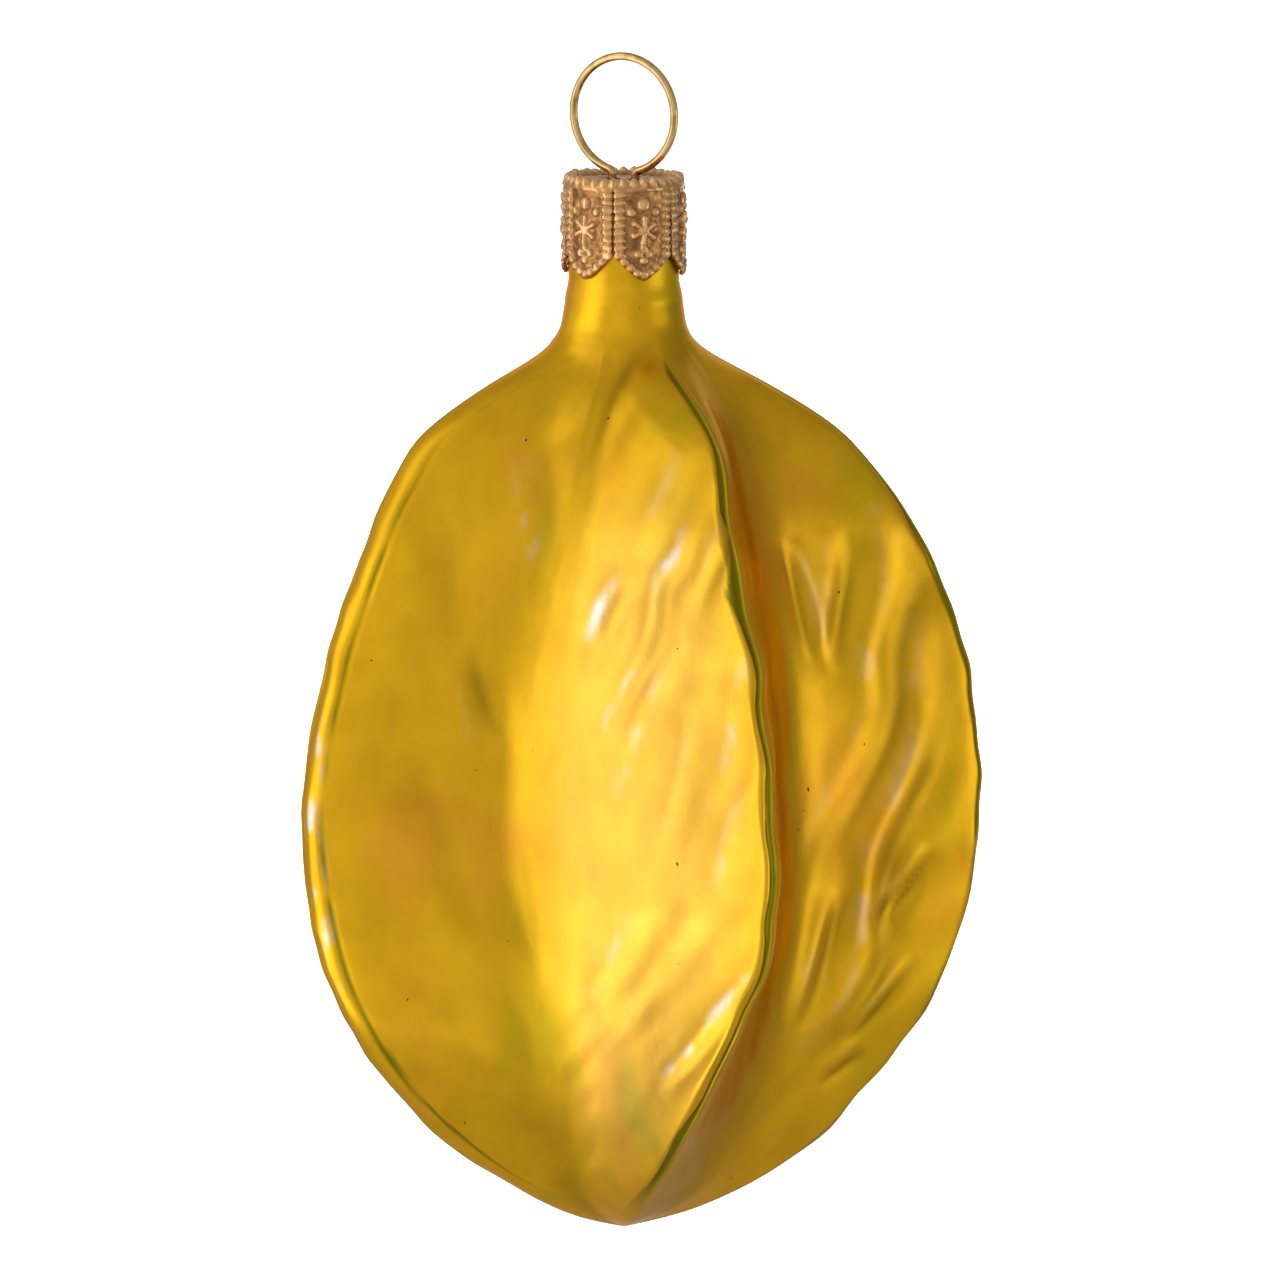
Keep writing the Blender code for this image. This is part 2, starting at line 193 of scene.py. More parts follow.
# ==== Making pieces ============================================================================
def new_piece(name: str, points: np.ndarray, faces: list[list[int]]) -> bpy.types.Object:
    """Make a smooth piece from points in millimetres, riding on the ornament.

    Args:
        name: the piece's name.
        points: one row of three coordinates for each point.
        faces: the corners of each face.

    Returns:
        The new object, at the origin.
    """
    mesh = bpy.data.meshes.new(name)
    mesh.from_pydata((points * MM).tolist(), [], faces)
    mesh.update()
    mesh.shade_smooth()
    piece = bpy.data.objects.new(name, mesh)
    bpy.context.scene.collection.objects.link(piece)
    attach(piece, BODY)
    return piece


def paint(piece: bpy.types.Object, name: str, values: np.ndarray) -> None:
    """Store one number at each point of a piece, for its finish to read."""
    layer = piece.data.attributes.new(name, "FLOAT", "POINT")
    layer.data.foreach_set("value", np.ascontiguousarray(values, dtype=np.float32).ravel())


# ==== Finishes =================================================================================
@dataclass
class Recipe:
    """A material being put together from nodes."""

    name: str
    material: bpy.types.Material = field(init=False)

    def __post_init__(self) -> None:
        """Start with a Principled shader and the object's own coordinates."""
        self.material = bpy.data.materials.new(self.name)
        self.material.use_nodes = True
        self.tree = self.material.node_tree
        self.shader = self.tree.nodes["Principled BSDF"]
        self.coordinates = self.tree.nodes.new("ShaderNodeTexCoord")

    def set(self, **values: float | tuple[float, ...]) -> None:
        """Set uniform values on the shader's own sockets, spaces written as underscores."""
        for key, value in values.items():
            self.shader.inputs[key.replace("_", " ")].default_value = value

    def link(self, source: bpy.types.NodeSocket, socket: str) -> None:
        """Drive one of the shader's sockets."""
        self.tree.links.new(source, self.shader.inputs[socket])

    def noise(self, size: float, stretch: tuple[float, float, float] = (1, 1, 1),
              detail: float = 3.0, shift: float = 0.0) -> bpy.types.NodeSocket:
        """Noise on Object coordinates.

        Args:
            size: how large a blotch is, in millimetres.
            stretch: how many times longer the blotches are along X, Y and Z.
            detail: how many finer layers it has.
            shift: a distance that sets one noise apart from another.

        Returns:
            The noise, about 0.5 on average.
        """
        mapping = self.tree.nodes.new("ShaderNodeMapping")
        mapping.inputs["Scale"].default_value = tuple(1 / (size * MM * part) for part in stretch)
        mapping.inputs["Location"].default_value = (shift, shift * 0.7, shift * 1.3)
        self.tree.links.new(self.coordinates.outputs["Object"], mapping.inputs["Vector"])
        texture = self.tree.nodes.new("ShaderNodeTexNoise")
        texture.inputs["Scale"].default_value = 1.0
        texture.inputs["Detail"].default_value = detail
        self.tree.links.new(mapping.outputs["Vector"], texture.inputs["Vector"])
        return texture.outputs["Fac"]

    def attribute(self, name: str) -> bpy.types.NodeSocket:
        """Read a number painted on the piece's points.

        Args:
            name: the attribute's name.

        Returns:
            The number.
        """
        node = self.tree.nodes.new("ShaderNodeAttribute")
        node.attribute_name = name
        return node.outputs["Fac"]

    def span(self, source: bpy.types.NodeSocket, low: float, high: float,
             to_low: float = 0.0, to_high: float = 1.0) -> bpy.types.NodeSocket:
        """Stretch a range of a number smoothly to another range.

        Args:
            source: the number.
            low: where the range starts.
            high: where it ends.
            to_low: what the start becomes.
            to_high: what the end becomes.

        Returns:
            The stretched number.
        """
        node = self.tree.nodes.new("ShaderNodeMapRange")
        node.interpolation_type = "SMOOTHSTEP"
        ends = {"From Min": low, "From Max": high, "To Min": to_low, "To Max": to_high}
        for key, value in ends.items():
            node.inputs[key].default_value = value
        self.tree.links.new(source, node.inputs["Value"])
        return node.outputs["Result"]

    def times(self, first: bpy.types.NodeSocket,
              second: bpy.types.NodeSocket | float) -> bpy.types.NodeSocket:
        """Multiply two numbers and keep the product between 0 and 1.

        Args:
            first: one number.
            second: the other, which may be a fixed value.

        Returns:
            The product.
        """
        node = self.tree.nodes.new("ShaderNodeMath")
        node.operation = "MULTIPLY"
        node.use_clamp = True
        self.tree.links.new(first, node.inputs[0])
        if isinstance(second, float):
            node.inputs[1].default_value = second
        else:
            self.tree.links.new(second, node.inputs[1])
        return node.outputs["Value"]

    def mix(self, amount: bpy.types.NodeSocket, below: bpy.types.NodeSocket | tuple[float, ...],
            above: tuple[float, ...]) -> bpy.types.NodeSocket:
        """Lay one colour on another.

        Args:
            amount: how much of the upper colour shows, from 0 to 1.
            below: the lower colour.
            above: the upper colour.

        Returns:
            The mixed colour.
        """
        node = self.tree.nodes.new("ShaderNodeMix")
        node.data_type = "RGBA"
        self.tree.links.new(amount, node.inputs["Factor"])
        if isinstance(below, tuple):
            node.inputs["A"].default_value = (*below, 1.0)
        else:
            self.tree.links.new(below, node.inputs["A"])
        node.inputs["B"].default_value = (*above, 1.0)
        return node.outputs["Result"]

    def bump(self, height: bpy.types.NodeSocket, depth: float) -> None:
        """Shade the surface as if it were raised.

        Args:
            height: how far it is raised, from 0 to 1.
            depth: what a height of 1 stands for, in millimetres.
        """
        node = self.tree.nodes.new("ShaderNodeBump")
        node.inputs["Strength"].default_value = 1.0
        node.inputs["Distance"].default_value = depth * MM
        self.tree.links.new(height, node.inputs["Height"])
        self.link(node.outputs["Normal"], "Normal")


@dataclass(frozen=True)
class SatinLacquer:
    """Silvered glass under a satin yellow lacquer: gold, blotched with orange and green, worn on ridges,
    with painted shade in creases, valleys and crest bands and a painted pale highlight.
    """

    gold: tuple[float, float, float] = (0.90, 0.495, 0.010)
    orange: tuple[float, float, float] = (0.93, 0.36, 0.025)
    deep: tuple[float, float, float] = (0.66, 0.33, 0.005)
    green: tuple[float, float, float] = (0.60, 0.46, 0.004)
    # Olive of the crest bands, darkened as painted shade.
    shaded_band: tuple[float, float, float] = (0.26, 0.22, 0.002)
    # Painted shade towards the valleys.
    valley_shaded: tuple[float, float, float] = (0.24, 0.155, 0.002)
    # Painted shade in the folds' grooves.
    crease_shaded: tuple[float, float, float] = (0.30, 0.17, 0.003)
    speckled: tuple[float, float, float] = (0.06, 0.03, 0.004)
    silver: tuple[float, float, float] = (0.88, 0.78, 0.80)
    grazing: tuple[float, float, float] = (0.92, 0.70, 0.50)
    crease_shade_share: float = 0.8
    roughness: float = 0.36

    def make(self) -> bpy.types.Material:
        """Build the material.

        Returns:
            The material, which reads the points' numbers of painted valley shade, painted pale highlight,
            painted crest band shade, painted crease shade and wear.
        """
        recipe = Recipe("satin_lacquer_on_silvered_glass")
        orange = recipe.span(recipe.noise(11, (1, 1, 1.7), 3, 0.2), 0.50, 0.70, 0.0, 0.60)
        colour = recipe.mix(orange, self.gold, self.orange)
        cloudy = recipe.span(recipe.noise(2.6, (1, 1, 2.0), 5, 4.4), 0.40, 0.68, 0.0, 0.30)
        colour = recipe.mix(cloudy, colour, self.deep)
        green = recipe.span(recipe.noise(8, (1, 1, 3.2), 4, 3.1), 0.54, 0.74, 0.0, 0.7)
        colour = recipe.mix(green, colour, self.green)
        # Painted shade towards the valleys.
        colour = recipe.mix(recipe.attribute("valley_shade"), colour, self.valley_shaded)
        # Painted highlight: silver laid on the middle of the flank that faces the key light.
        colour = recipe.mix(recipe.attribute("pale_highlight"), colour, self.silver)
        # Painted shade: the crest bands and the seam line darkened to olive.
        colour = recipe.mix(recipe.attribute("land"), colour, self.shaded_band)
        # Painted shade in the folds' grooves.
        shade = recipe.times(recipe.attribute("crease_shade"), self.crease_shade_share)
        colour = recipe.mix(shade, colour, self.crease_shaded)
        rub = recipe.span(recipe.noise(2.4, (1, 1, 1.6), 4, 7.7), 0.42, 0.66)
        colour = recipe.mix(recipe.times(recipe.attribute("wear"), rub), colour, self.silver)
        speck = recipe.span(recipe.noise(0.55, detail=0.0, shift=5.0), 0.905, 0.92)
        colour = recipe.mix(speck, colour, self.speckled)
        recipe.link(colour, "Base Color")
        cloud = recipe.noise(5, detail=4, shift=9.0)
        rough = recipe.span(cloud, 0.3, 0.7, self.roughness - 0.04, self.roughness + 0.05)
        recipe.link(rough, "Roughness")
        recipe.set(Metallic=1.0, Specular_Tint=(*self.grazing, 1.0))
        recipe.set(Coat_Weight=0.12, Coat_Roughness=0.22)
        recipe.bump(recipe.noise(0.7, detail=3, shift=2.0), 0.012)
        return recipe.material


@dataclass(frozen=True)
class StampedSheet:
    """Rose gold sheet: satin on the raised work, with brown painted shade in the low places."""

    metal: tuple[float, float, float] = (0.72, 0.38, 0.145)
    blotched: tuple[float, float, float] = (0.62, 0.32, 0.12)
    raised: tuple[float, float, float] = (0.94, 0.57, 0.27)
    # Painted shade of the low places.
    low: tuple[float, float, float] = (0.30, 0.14, 0.045)
    roughness: float = 0.27

    def make(self) -> bpy.types.Material:
        """Build the material.

        Returns:
            The material, which reads the points' relief number.
        """
        recipe = Recipe("stamped_rose_gold_sheet")
        relief = recipe.attribute("relief")
        blotch = recipe.span(recipe.noise(1.8, detail=4), 0.35, 0.7)
        colour = recipe.mix(blotch, self.metal, self.blotched)
        colour = recipe.mix(recipe.span(relief, 0.45, 1.0, 0.0, 0.7), colour, self.raised)
        # Painted shade: brown laid in the low places, broken up by noise.
        hollow = recipe.span(relief, 0.45, 0.05, 0.0, 0.9)
        shade_patches = recipe.span(recipe.noise(0.7, detail=3, shift=6.0), 0.35, 0.6, 0.35, 1.0)
        colour = recipe.mix(recipe.times(hollow, shade_patches), colour, self.low)
        recipe.link(colour, "Base Color")
        cloud = recipe.noise(0.5, detail=4, shift=4.0)
        rough = recipe.span(cloud, 0.3, 0.7, self.roughness - 0.06, self.roughness + 0.1)
        recipe.link(rough, "Roughness")
        recipe.set(Metallic=1.0)
        recipe.bump(recipe.noise(0.16, detail=3, shift=1.0), 0.012)
        return recipe.material


@dataclass(frozen=True)
class DrawnBrass:
    """Bright drawn brass wire with a thin brown tarnish."""

    metal: tuple[float, float, float] = (0.72, 0.48, 0.19)
    tarnish: tuple[float, float, float] = (0.42, 0.25, 0.08)

    def make(self) -> bpy.types.Material:
        """Build the material.

        Returns:
            The material.
        """
        recipe = Recipe("drawn_brass_wire")
        stain = recipe.span(recipe.noise(0.9, (1, 1, 2.5), 4), 0.45, 0.75, 0.0, 0.8)
        recipe.link(recipe.mix(stain, self.metal, self.tarnish), "Base Color")
        rough = recipe.span(recipe.noise(0.8, detail=3, shift=2.0), 0.3, 0.7, 0.10, 0.22)
        recipe.link(rough, "Roughness")
        recipe.set(Metallic=1.0)
        return recipe.material


@dataclass(frozen=True)
class PaleFloor:
    """Matt off-white studio floor."""

    colour: tuple[float, float, float] = (0.70, 0.70, 0.70)

    def make(self) -> bpy.types.Material:
        """Build the material.

        Returns:
            The material.
        """
        recipe = Recipe("pale_floor")
        recipe.set(Base_Color=(*self.colour, 1.0), Roughness=0.9)
        return recipe.material


# ==== Glass body ===============================================================================
class Side(IntEnum):
    """One of a rib's two flanks: the one before its crest, as azimuths run, or the one after it."""

    BEFORE = -1
    AFTER = 1

    @property
    def place(self) -> int:
        """Where this flank's value stands in a rib's pairs."""
        return (self + 1) // 2


@dataclass(frozen=True)
class Band:
    """Strip along a crest of olive lacquer, darkened with painted shade where the strip turns from the
    light.

    start, its distance from the crest, and width are in millimetres.  uneven is how far the
    width wanders, as a share of itself, and course how it changes down the length.
    """

    start: float = 0.2
    width: float = 0.5
    uneven: float = 0.4
    course: Curve = ((0.0, 1.0), (1.0, 1.0))


# A flank without a strip of painted shade along its crest.
NO_BAND = Band(0.0, 0.0, 0.0)


@dataclass(frozen=True)
class Rib:
    """One rib of the fruit.

    azimuth and the drifts are in degrees, and reach is shares of the common crest radius at the
    fruit's reach shares.  valley_lean turns the valley that follows the rib away from the middle
    of the gap, by degrees at shares of the length.  seam is the height of the mould seam, as a
    share of the common one.  The pairs have a value for the flank before the crest and one for
    the flank after it: the number of grid columns, the width of the land along the crest and the
    rounding of its edge in millimetres, the band of olive lacquer darkened with painted shade, how
    much painted shade lies towards the valley, between which ways from crest to valley that grows,
    and how much painted pale highlight lies on the middle of the flank.
    """

    azimuth: float
    reach: tuple[float, ...]
    tip_drift: float
    seed: int
    columns: tuple[int, int] = (22, 22)
    neck_drift: float = 0.0
    valley_lean: Curve = ((0.0, 0.0), (1.0, 0.0))
    land: tuple[float, float] = (0.2, 0.2)
    edge_round: tuple[float, float] = (1.2, 1.2)
    bands: tuple[Band, Band] = (Band(), NO_BAND)
    # Painted shade towards the valley on each flank, and the ways from crest to valley between which it
    # grows.
    pool: tuple[float, float] = (0.1, 0.1)
    valley_shade_ways: tuple[tuple[float, float], tuple[float, float]] = ((0.55, 0.92), (0.55, 0.92))
    # Painted pale highlight on the middle of each flank.
    pale_highlight: tuple[float, float] = (0.0, 0.0)
    seam: float = 1.0


@dataclass(frozen=True)
class Fold:
    """A sagging fold on one flank: a ridge on its valley side and a groove on its crest side.

    rib, the rib's number, and side name the flank.  The stroke's points are shares of the length
    below the neck, and of the way from crest to valley.  width and height are in millimetres, and
    a height below 0 changes ridge and groove over.  worn says how rubbed the ridge is, and the
    last value how much painted shade lies in the groove.
    """

    rib: int
    side: Side
    stroke: Curve
    width: float = 0.8
    height: float = 0.16
    worn: float = 0.5
    # How much painted shade lies in the groove.
    groove_shade: float = 0.5


# Folds of the flanks that are seen from the front.
SEEN_FOLDS = (
    Fold(1, Side.BEFORE, ((0.265, 0.60), (0.295, 0.69), (0.340, 0.76)), 1.0, 0.22, 1.0, 0.1),
    Fold(1, Side.BEFORE, ((0.205, 0.24), (0.237, 0.31), (0.267, 0.42), (0.31, 0.46), (0.38, 0.58),
                          (0.44, 0.68)), 0.8, 0.22, 0.9, 0.4),
    Fold(1, Side.BEFORE, ((0.198, 0.02), (0.222, 0.10), (0.25, 0.19), (0.30, 0.30)), 0.8, 0.17, 0.1, 1.0),
    Fold(1, Side.BEFORE, ((0.38, 0.27), (0.44, 0.33), (0.50, 0.39), (0.53, 0.42)), 0.75, 0.12, 0.1, 0.4),
    Fold(1, Side.BEFORE, ((0.13, 0.22), (0.19, 0.38), (0.25, 0.52)), 1.2, 0.14, 0.1, 0.2),
    Fold(1, Side.BEFORE, ((0.66, 0.07), (0.70, 0.12), (0.76, 0.22), (0.80, 0.34)), 0.8, 0.16, 0.8, 0.2),
    Fold(1, Side.BEFORE, ((0.58, 0.46), (0.65, 0.60), (0.73, 0.74)), 1.3, 0.12, 0.2, 0.1),
    Fold(1, Side.BEFORE, ((0.33, 0.06), (0.38, 0.11), (0.44, 0.16), (0.50, 0.24)), 0.8, 0.12, 0.4, 0.2),
    Fold(1, Side.BEFORE, ((0.46, 0.08), (0.52, 0.16), (0.58, 0.22)), 1.0, 0.12, 0.2, 0.1),
    Fold(1, Side.BEFORE, ((0.35, 0.38), (0.42, 0.50), (0.50, 0.60)), 1.1, 0.12, 0.3, 0.2),
    Fold(1, Side.BEFORE, ((0.17, 0.93), (0.10, 0.78), (0.065, 0.50), (0.050, 0.25), (0.045, 0.0)),
         1.0, 0.20, 0.0, 0.8),
    Fold(2, Side.BEFORE, ((0.15, 0.10), (0.21, 0.13), (0.278, 0.20), (0.33, 0.34), (0.375, 0.43),
                          (0.43, 0.46), (0.476, 0.54), (0.548, 0.74), (0.612, 0.90)),
         1.6, 0.40, 0.12, 0.9),
    Fold(2, Side.BEFORE, ((0.33, 0.16), (0.38, 0.22), (0.43, 0.26), (0.506, 0.34), (0.56, 0.46),
                          (0.60, 0.50), (0.65, 0.50), (0.69, 0.46), (0.73, 0.47), (0.77, 0.55),
                          (0.81, 0.70)), 1.35, 0.36, 0.2, 0.9),
    Fold(2, Side.BEFORE, ((0.585, 0.28), (0.62, 0.37), (0.66, 0.48)), 0.75, 0.24, 0.05, 1.0),
    Fold(2, Side.BEFORE, ((0.62, 0.70), (0.676, 0.75), (0.77, 0.80)), 1.1, 0.34, 0.15, 0.9),
    Fold(2, Side.BEFORE, ((0.705, 0.27), (0.75, 0.35), (0.79, 0.45)), 0.75, 0.24, 0.05, 1.0),
    Fold(2, Side.BEFORE, ((0.80, 0.31), (0.833, 0.48)), 0.8, 0.2, 0.05, 0.8),
    Fold(2, Side.BEFORE, ((0.245, 0.82), (0.30, 0.79), (0.40, 0.74)), 1.0, -0.26, 0.15, 0.7),
    Fold(2, Side.BEFORE, ((0.24, 0.48), (0.31, 0.60), (0.38, 0.72)), 1.1, 0.30, 0.1, 0.7),
    Fold(0, Side.AFTER, ((0.35, 0.60), (0.40, 0.70), (0.45, 0.80)), 1.0, -0.12, 0.1, 0.7),
    Fold(0, Side.AFTER, ((0.14, 0.72), (0.19, 0.82), (0.25, 0.93)), 1.3, -0.16, 0.45, 0.2),
    Fold(0, Side.AFTER, ((0.22, 0.35), (0.30, 0.44), (0.38, 0.56)), 1.6, -0.14, 0.0, 0.3),
    Fold(0, Side.AFTER, ((0.46, 0.40), (0.56, 0.56), (0.66, 0.66)), 1.6, -0.12, 0.0, 0.2),
    Fold(0, Side.AFTER, ((0.40, 0.03), (0.50, 0.05), (0.62, 0.05), (0.72, 0.04)), 1.5, 0.02, 0.9, 0.0),
    Fold(1, Side.AFTER, ((0.035, 0.0), (0.06, 0.10), (0.10, 0.14), (0.15, 0.10), (0.21, 0.04)),
         1.2, 0.16, 0.0, 1.0),
)


# Flanks round the back and the sides, whose folds are drawn by chance.
UNSEEN_FLANKS = ((2, Side.AFTER), (3, Side.BEFORE), (3, Side.AFTER), (4, Side.BEFORE), (4, Side.AFTER),
                 (0, Side.BEFORE))

# Width of the strip of painted shade along the front crest, as shares of its own, down the length.
CREST_BAND = (
    (0.05, 0.0), (0.065, 1.0), (0.10, 1.2), (0.13, 0.8), (0.155, 1.1), (0.19, 1.0), (0.207, 0.1),
    (0.235, 0.9), (0.27, 2.2), (0.31, 1.3), (0.36, 0.7), (0.50, 1.0), (0.60, 1.1), (0.70, 0.6),
    (0.80, 0.4), (0.85, 1.3), (1.0, 1.3),
)

# Lean in degrees of the valley between the left rib and the front one, down the length.
VALLEY_LEAN = ((0.05, 4), (0.17, 4), (0.29, -3.5), (0.40, -9.5), (0.56, -9.5), (0.66, -5), (0.74, 0),
               (0.80, 3), (0.95, 2))


@dataclass
class StarFruit:
    """The blown glass fruit with its neck: sizes, outline, folds and wall.

    Lengths, radii and depths are in millimetres.  The outlines and reach_shares give places down
    the length as shares of it.  soft_neck and soft_belly are how widely the outlines are softened
    near the ends and between soft_from and soft_to, also as shares.
    """

    full_radius: float = 31.55
    valley_radius: float = 17.4
    neck_radius: float = 4.9
    root_radius: float = 5.22
    flare_radius: float = 6.37
    neck_length: float = 10.5
    straight_neck: float = 8.4
    neck_rows: int = 26
    wall: float = 0.8
    inner_tip: float = 1.12
    valley_round: float = 3.6
    reach_shares: tuple[float, ...] = (0.07, 0.12, 0.17, 0.28, 0.58, 0.84, 0.94)
    rows: int = 250
    last_row: float = 0.997
    least_step: float = 0.45
    crest_columns: int = 10
    crest_band: float = 2.2
    soft_neck: float = 0.010
    soft_belly: float = 0.042
    soft_from: tuple[float, float] = (0.14, 0.32)
    soft_to: tuple[float, float] = (0.80, 0.92)
    nick_reach: float = 1.6
    seam_height: float = 0.13
    seam_width: float = 0.19
    # Painted shade of the groove beside each crest's seam: how dark it is, and how wide in millimetres.
    seam_shade: float = 0.4
    seam_shade_width: float = 0.25
    band_depth: float = 0.12
    band_edge: float = 0.14
    pillow_lean: float = 28.0
    inner_every: int = 4
    folds: tuple[Fold, ...] = SEEN_FOLDS
    ribs: tuple[Rib, ...] = (
        Rib(-65, (1.140, 1.085, 1.012, 0.988, 0.990, 0.988, 0.945), 5, 11, (22, 46),
            valley_lean=VALLEY_LEAN, edge_round=(1.2, 3.8), pool=(0.0, 0.46), seam=0.3,
            bands=(NO_BAND, Band(3.3, 0.4, 0.5, ((0.14, 0.0), (0.26, 0.8), (0.80, 1.0), (0.92, 0.5))))),
        Rib(24, (1.000, 1.000, 1.000, 1.000, 1.030, 1.030, 1.030), -19, 22, (62, 34), neck_drift=7,
            land=(0.95, 0.05), edge_round=(0.3, 0.5),
            bands=(Band(0.08, 0.95, 0.25, CREST_BAND), NO_BAND),
            pool=(0.0, 0.50), valley_shade_ways=((0.55, 0.92), (-0.3, 0.25)), pale_highlight=(0.06, 0.0)),
        Rib(95, (0.991, 0.985, 1.004, 1.045, 1.012, 1.000, 1.100), -2, 33, (62, 22),
            bands=(Band(0.45, 1.0, 0.4, ((0.13, 0.0), (0.25, 1.0))), NO_BAND), pool=(0.16, 0.0)),
        Rib(162, (1.000, 1.000, 0.995, 0.985, 0.990, 0.990, 1.000), 5, 44),
        Rib(229, (1.000, 1.000, 1.000, 1.000, 0.980, 0.980, 1.000), -3, 55),
    )
    crest_outline: Curve = (
        (0.085, 0.385), (0.13, 0.575), (0.20, 0.740), (0.30, 0.870), (0.42, 0.965), (0.55, 1.000),
        (0.65, 0.975), (0.74, 0.900), (0.82, 0.765), (0.88, 0.610), (0.93, 0.435), (0.97, 0.245),
        (0.99, 0.120), (1.00, 0.000),
    )
    valley_outline: Curve = (
        (0.085, 0.540), (0.13, 0.680), (0.20, 0.800), (0.30, 0.890), (0.42, 0.965), (0.55, 1.000),
        (0.65, 0.990), (0.74, 0.945), (0.82, 0.855), (0.88, 0.725), (0.93, 0.560), (0.97, 0.345),
        (0.99, 0.155), (1.00, 0.000),
    )

    def __post_init__(self) -> None:
        """Take the heights of the rim and the tip from the frame."""
        low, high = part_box("glass_body")
        self.rim_z = high[2] / MM
        self.tip_z = low[2] / MM
        self.root_z = self.rim_z - self.neck_length
        self.length = self.root_z - self.tip_z

    def outline(self, line: Curve, full: float, share: np.ndarray,
                reach: Sequence[float] = (1.0,) * 7) -> np.ndarray:
        """Radius of a crest or valley line, softened so that no bend shows in the gloss.

        Args:
            line: the outline's own knots, below the flare.
            full: the radius that its values are shares of.
            share: shares of the length, from the root down.
            reach: shares of the outline that this rib has at each of the reach shares.

        Returns:
            The radius at each share.
        """
        root = ((0.0, self.root_radius / full), (0.045, self.flare_radius / full))
        even = np.linspace(0, 1, 2001)
        own = np.interp(even, (0.0, *self.reach_shares), (1.0, *reach))
        radius = full * smooth_curve(root + tuple(line), even) * own
        belly = ramp(*self.soft_from, even) * (1 - ramp(*self.soft_to, even))
        radius = soften(radius, self.soft_neck) * (1 - belly) + soften(radius, self.soft_belly) * belly
        return np.interp(share, even, radius)

    def row_shares(self) -> np.ndarray:
        """Places of the fruit's rows.

        Formula: even steps down the crest line, shortened where the radius is small.

        Returns:
            Shares of the length, from the root to just above the tip.
        """
        share = np.linspace(0, 1, 4000)
        radius = self.outline(self.crest_outline, self.full_radius, share)
        step = np.hypot(np.diff(radius), self.length * np.diff(share))
        middle = (radius[1:] + radius[:-1]) / 2 / self.full_radius
        stretch = self.least_step + (1 - self.least_step) * middle
        path = np.concatenate([[0], np.cumsum(step / stretch)])
        return np.interp(np.linspace(0, self.last_row, self.rows) * path[-1], path, share)

    def crest_azimuth(self, rib: Rib, share: np.ndarray) -> np.ndarray:
        """Line of a crest: its own azimuth, a drift at each end, and a slow uneven sway.

        Args:
            rib: the rib.
            share: shares of the length.

        Returns:
            The azimuth in radians at each share.
        """
        drift = rib.tip_drift * np.clip((share - 0.62) / 0.38, 0, 1) ** 1.25
        drift += rib.neck_drift * (1 - ramp(0.0, 0.22, share))
        sway = 1.1 * wave_noise(share * 9, np.zeros_like(share), rib.seed)
        sway += 0.45 * wave_noise(share * 24, np.zeros_like(share), rib.seed + 1)
        held = ramp(0.03, 0.15, share) * (1 - ramp(0.90, 0.99, share))
        return np.radians(rib.azimuth + drift + sway * held)

    def crest_radius(self, rib: Rib, share: np.ndarray) -> np.ndarray:
        """Radius of a rib's crest: the common line times the rib's own reaches."""
        return self.outline(self.crest_outline, self.full_radius, share, rib.reach)

    def crest_nicks(self, rib: Rib, share: np.ndarray) -> np.ndarray:
        """Depth of the uneven nicks along a crest.

        Args:
            rib: the rib.
            share: shares of the length.

        Returns:
            The depth in millimetres at each share.
        """
        level = np.zeros_like(share)
        nick = 0.16 * (1 + wave_noise(share * 15, level, rib.seed + 2))
        nick += 0.14 * (1 + wave_noise(share * 42, level, rib.seed + 3))
        return nick * ramp(0.08, 0.25, share) * (1 - ramp(0.93, 1.0, share))

    def ease(self, place: np.ndarray, start_round: np.ndarray, end_round: np.ndarray) -> np.ndarray:
        """Run from 0 to 1 with a parabola at each end and a straight run between them.

        Args:
            place: where on the run, from 0 to 1.
            start_round: the part of the run that the first parabola takes.
            end_round: the part that the last one takes.

        Returns:
            The eased place, from 0 to 1.
        """
        full = 1 - (start_round + end_round) / 2
        start = place**2 / (2 * start_round)
        middle = place - start_round / 2
        end = full - (1 - place) ** 2 / (2 * end_round)
        eased = np.where(place < start_round, start, middle)
        return np.where(place > 1 - end_round, end, eased) / full

    def flank_radius(self, place: np.ndarray, gap: np.ndarray, crest: np.ndarray, valley: np.ndarray,
                     land: np.ndarray, edge_round: float) -> np.ndarray:
        """Radius on a flank.

        Formula: constant on the narrow land along the crest, then the straight chord from the
        land's edge to the valley, both ends rounded, giving way to a circle at the neck.

        Args:
            place: share of the gap, from the middle of the crest (0) to the valley (1).
            gap: angle from the crest to the valley.
            crest: radius of the crest.
            valley: radius of the valley.
            land: width of the land.
            edge_round: length over which the land's edge is rounded.

        Returns:
            The radius at each place.
        """
        land_share = np.clip(land / (gap * crest), 0.0, 0.3)
        below = np.clip((place - land_share) / (1 - land_share), 0.0, 1.0)
        round_crest = np.clip(edge_round / (gap * crest), 0.01, 0.5)
        round_valley = np.clip(self.valley_round / (gap * valley), 0.02, 0.45)
        way = self.ease(below, round_crest, round_valley)
        spread = crest * np.sin(way * gap) + valley * np.sin((1 - way) * gap)
        straight = crest * valley * np.sin(gap) / spread
        circle = crest + (valley - crest) * way
        roundness = np.clip((valley / crest - 0.62) / 0.38, 0, 1)
        return straight + (circle - straight) * roundness

    def ways(self, count: int, wide: np.ndarray) -> np.ndarray:
        """Shares of the way from crest to valley at which a flank's columns lie.

        Args:
            count: number of columns, the crest's own included and the valley's left out.
            wide: width of the flank in each row, in millimetres.

        Returns:
            One row of shares for each row: a fine band along the crest, then even steps.
        """
        band = np.minimum(self.crest_band / wide, 0.3)[:, None]
        fine = (np.arange(self.crest_columns) / self.crest_columns) ** 1.3
        even = np.arange(count - self.crest_columns) / (count - self.crest_columns)
        return np.concatenate([fine * band, band + (1 - band) * even], axis=1)

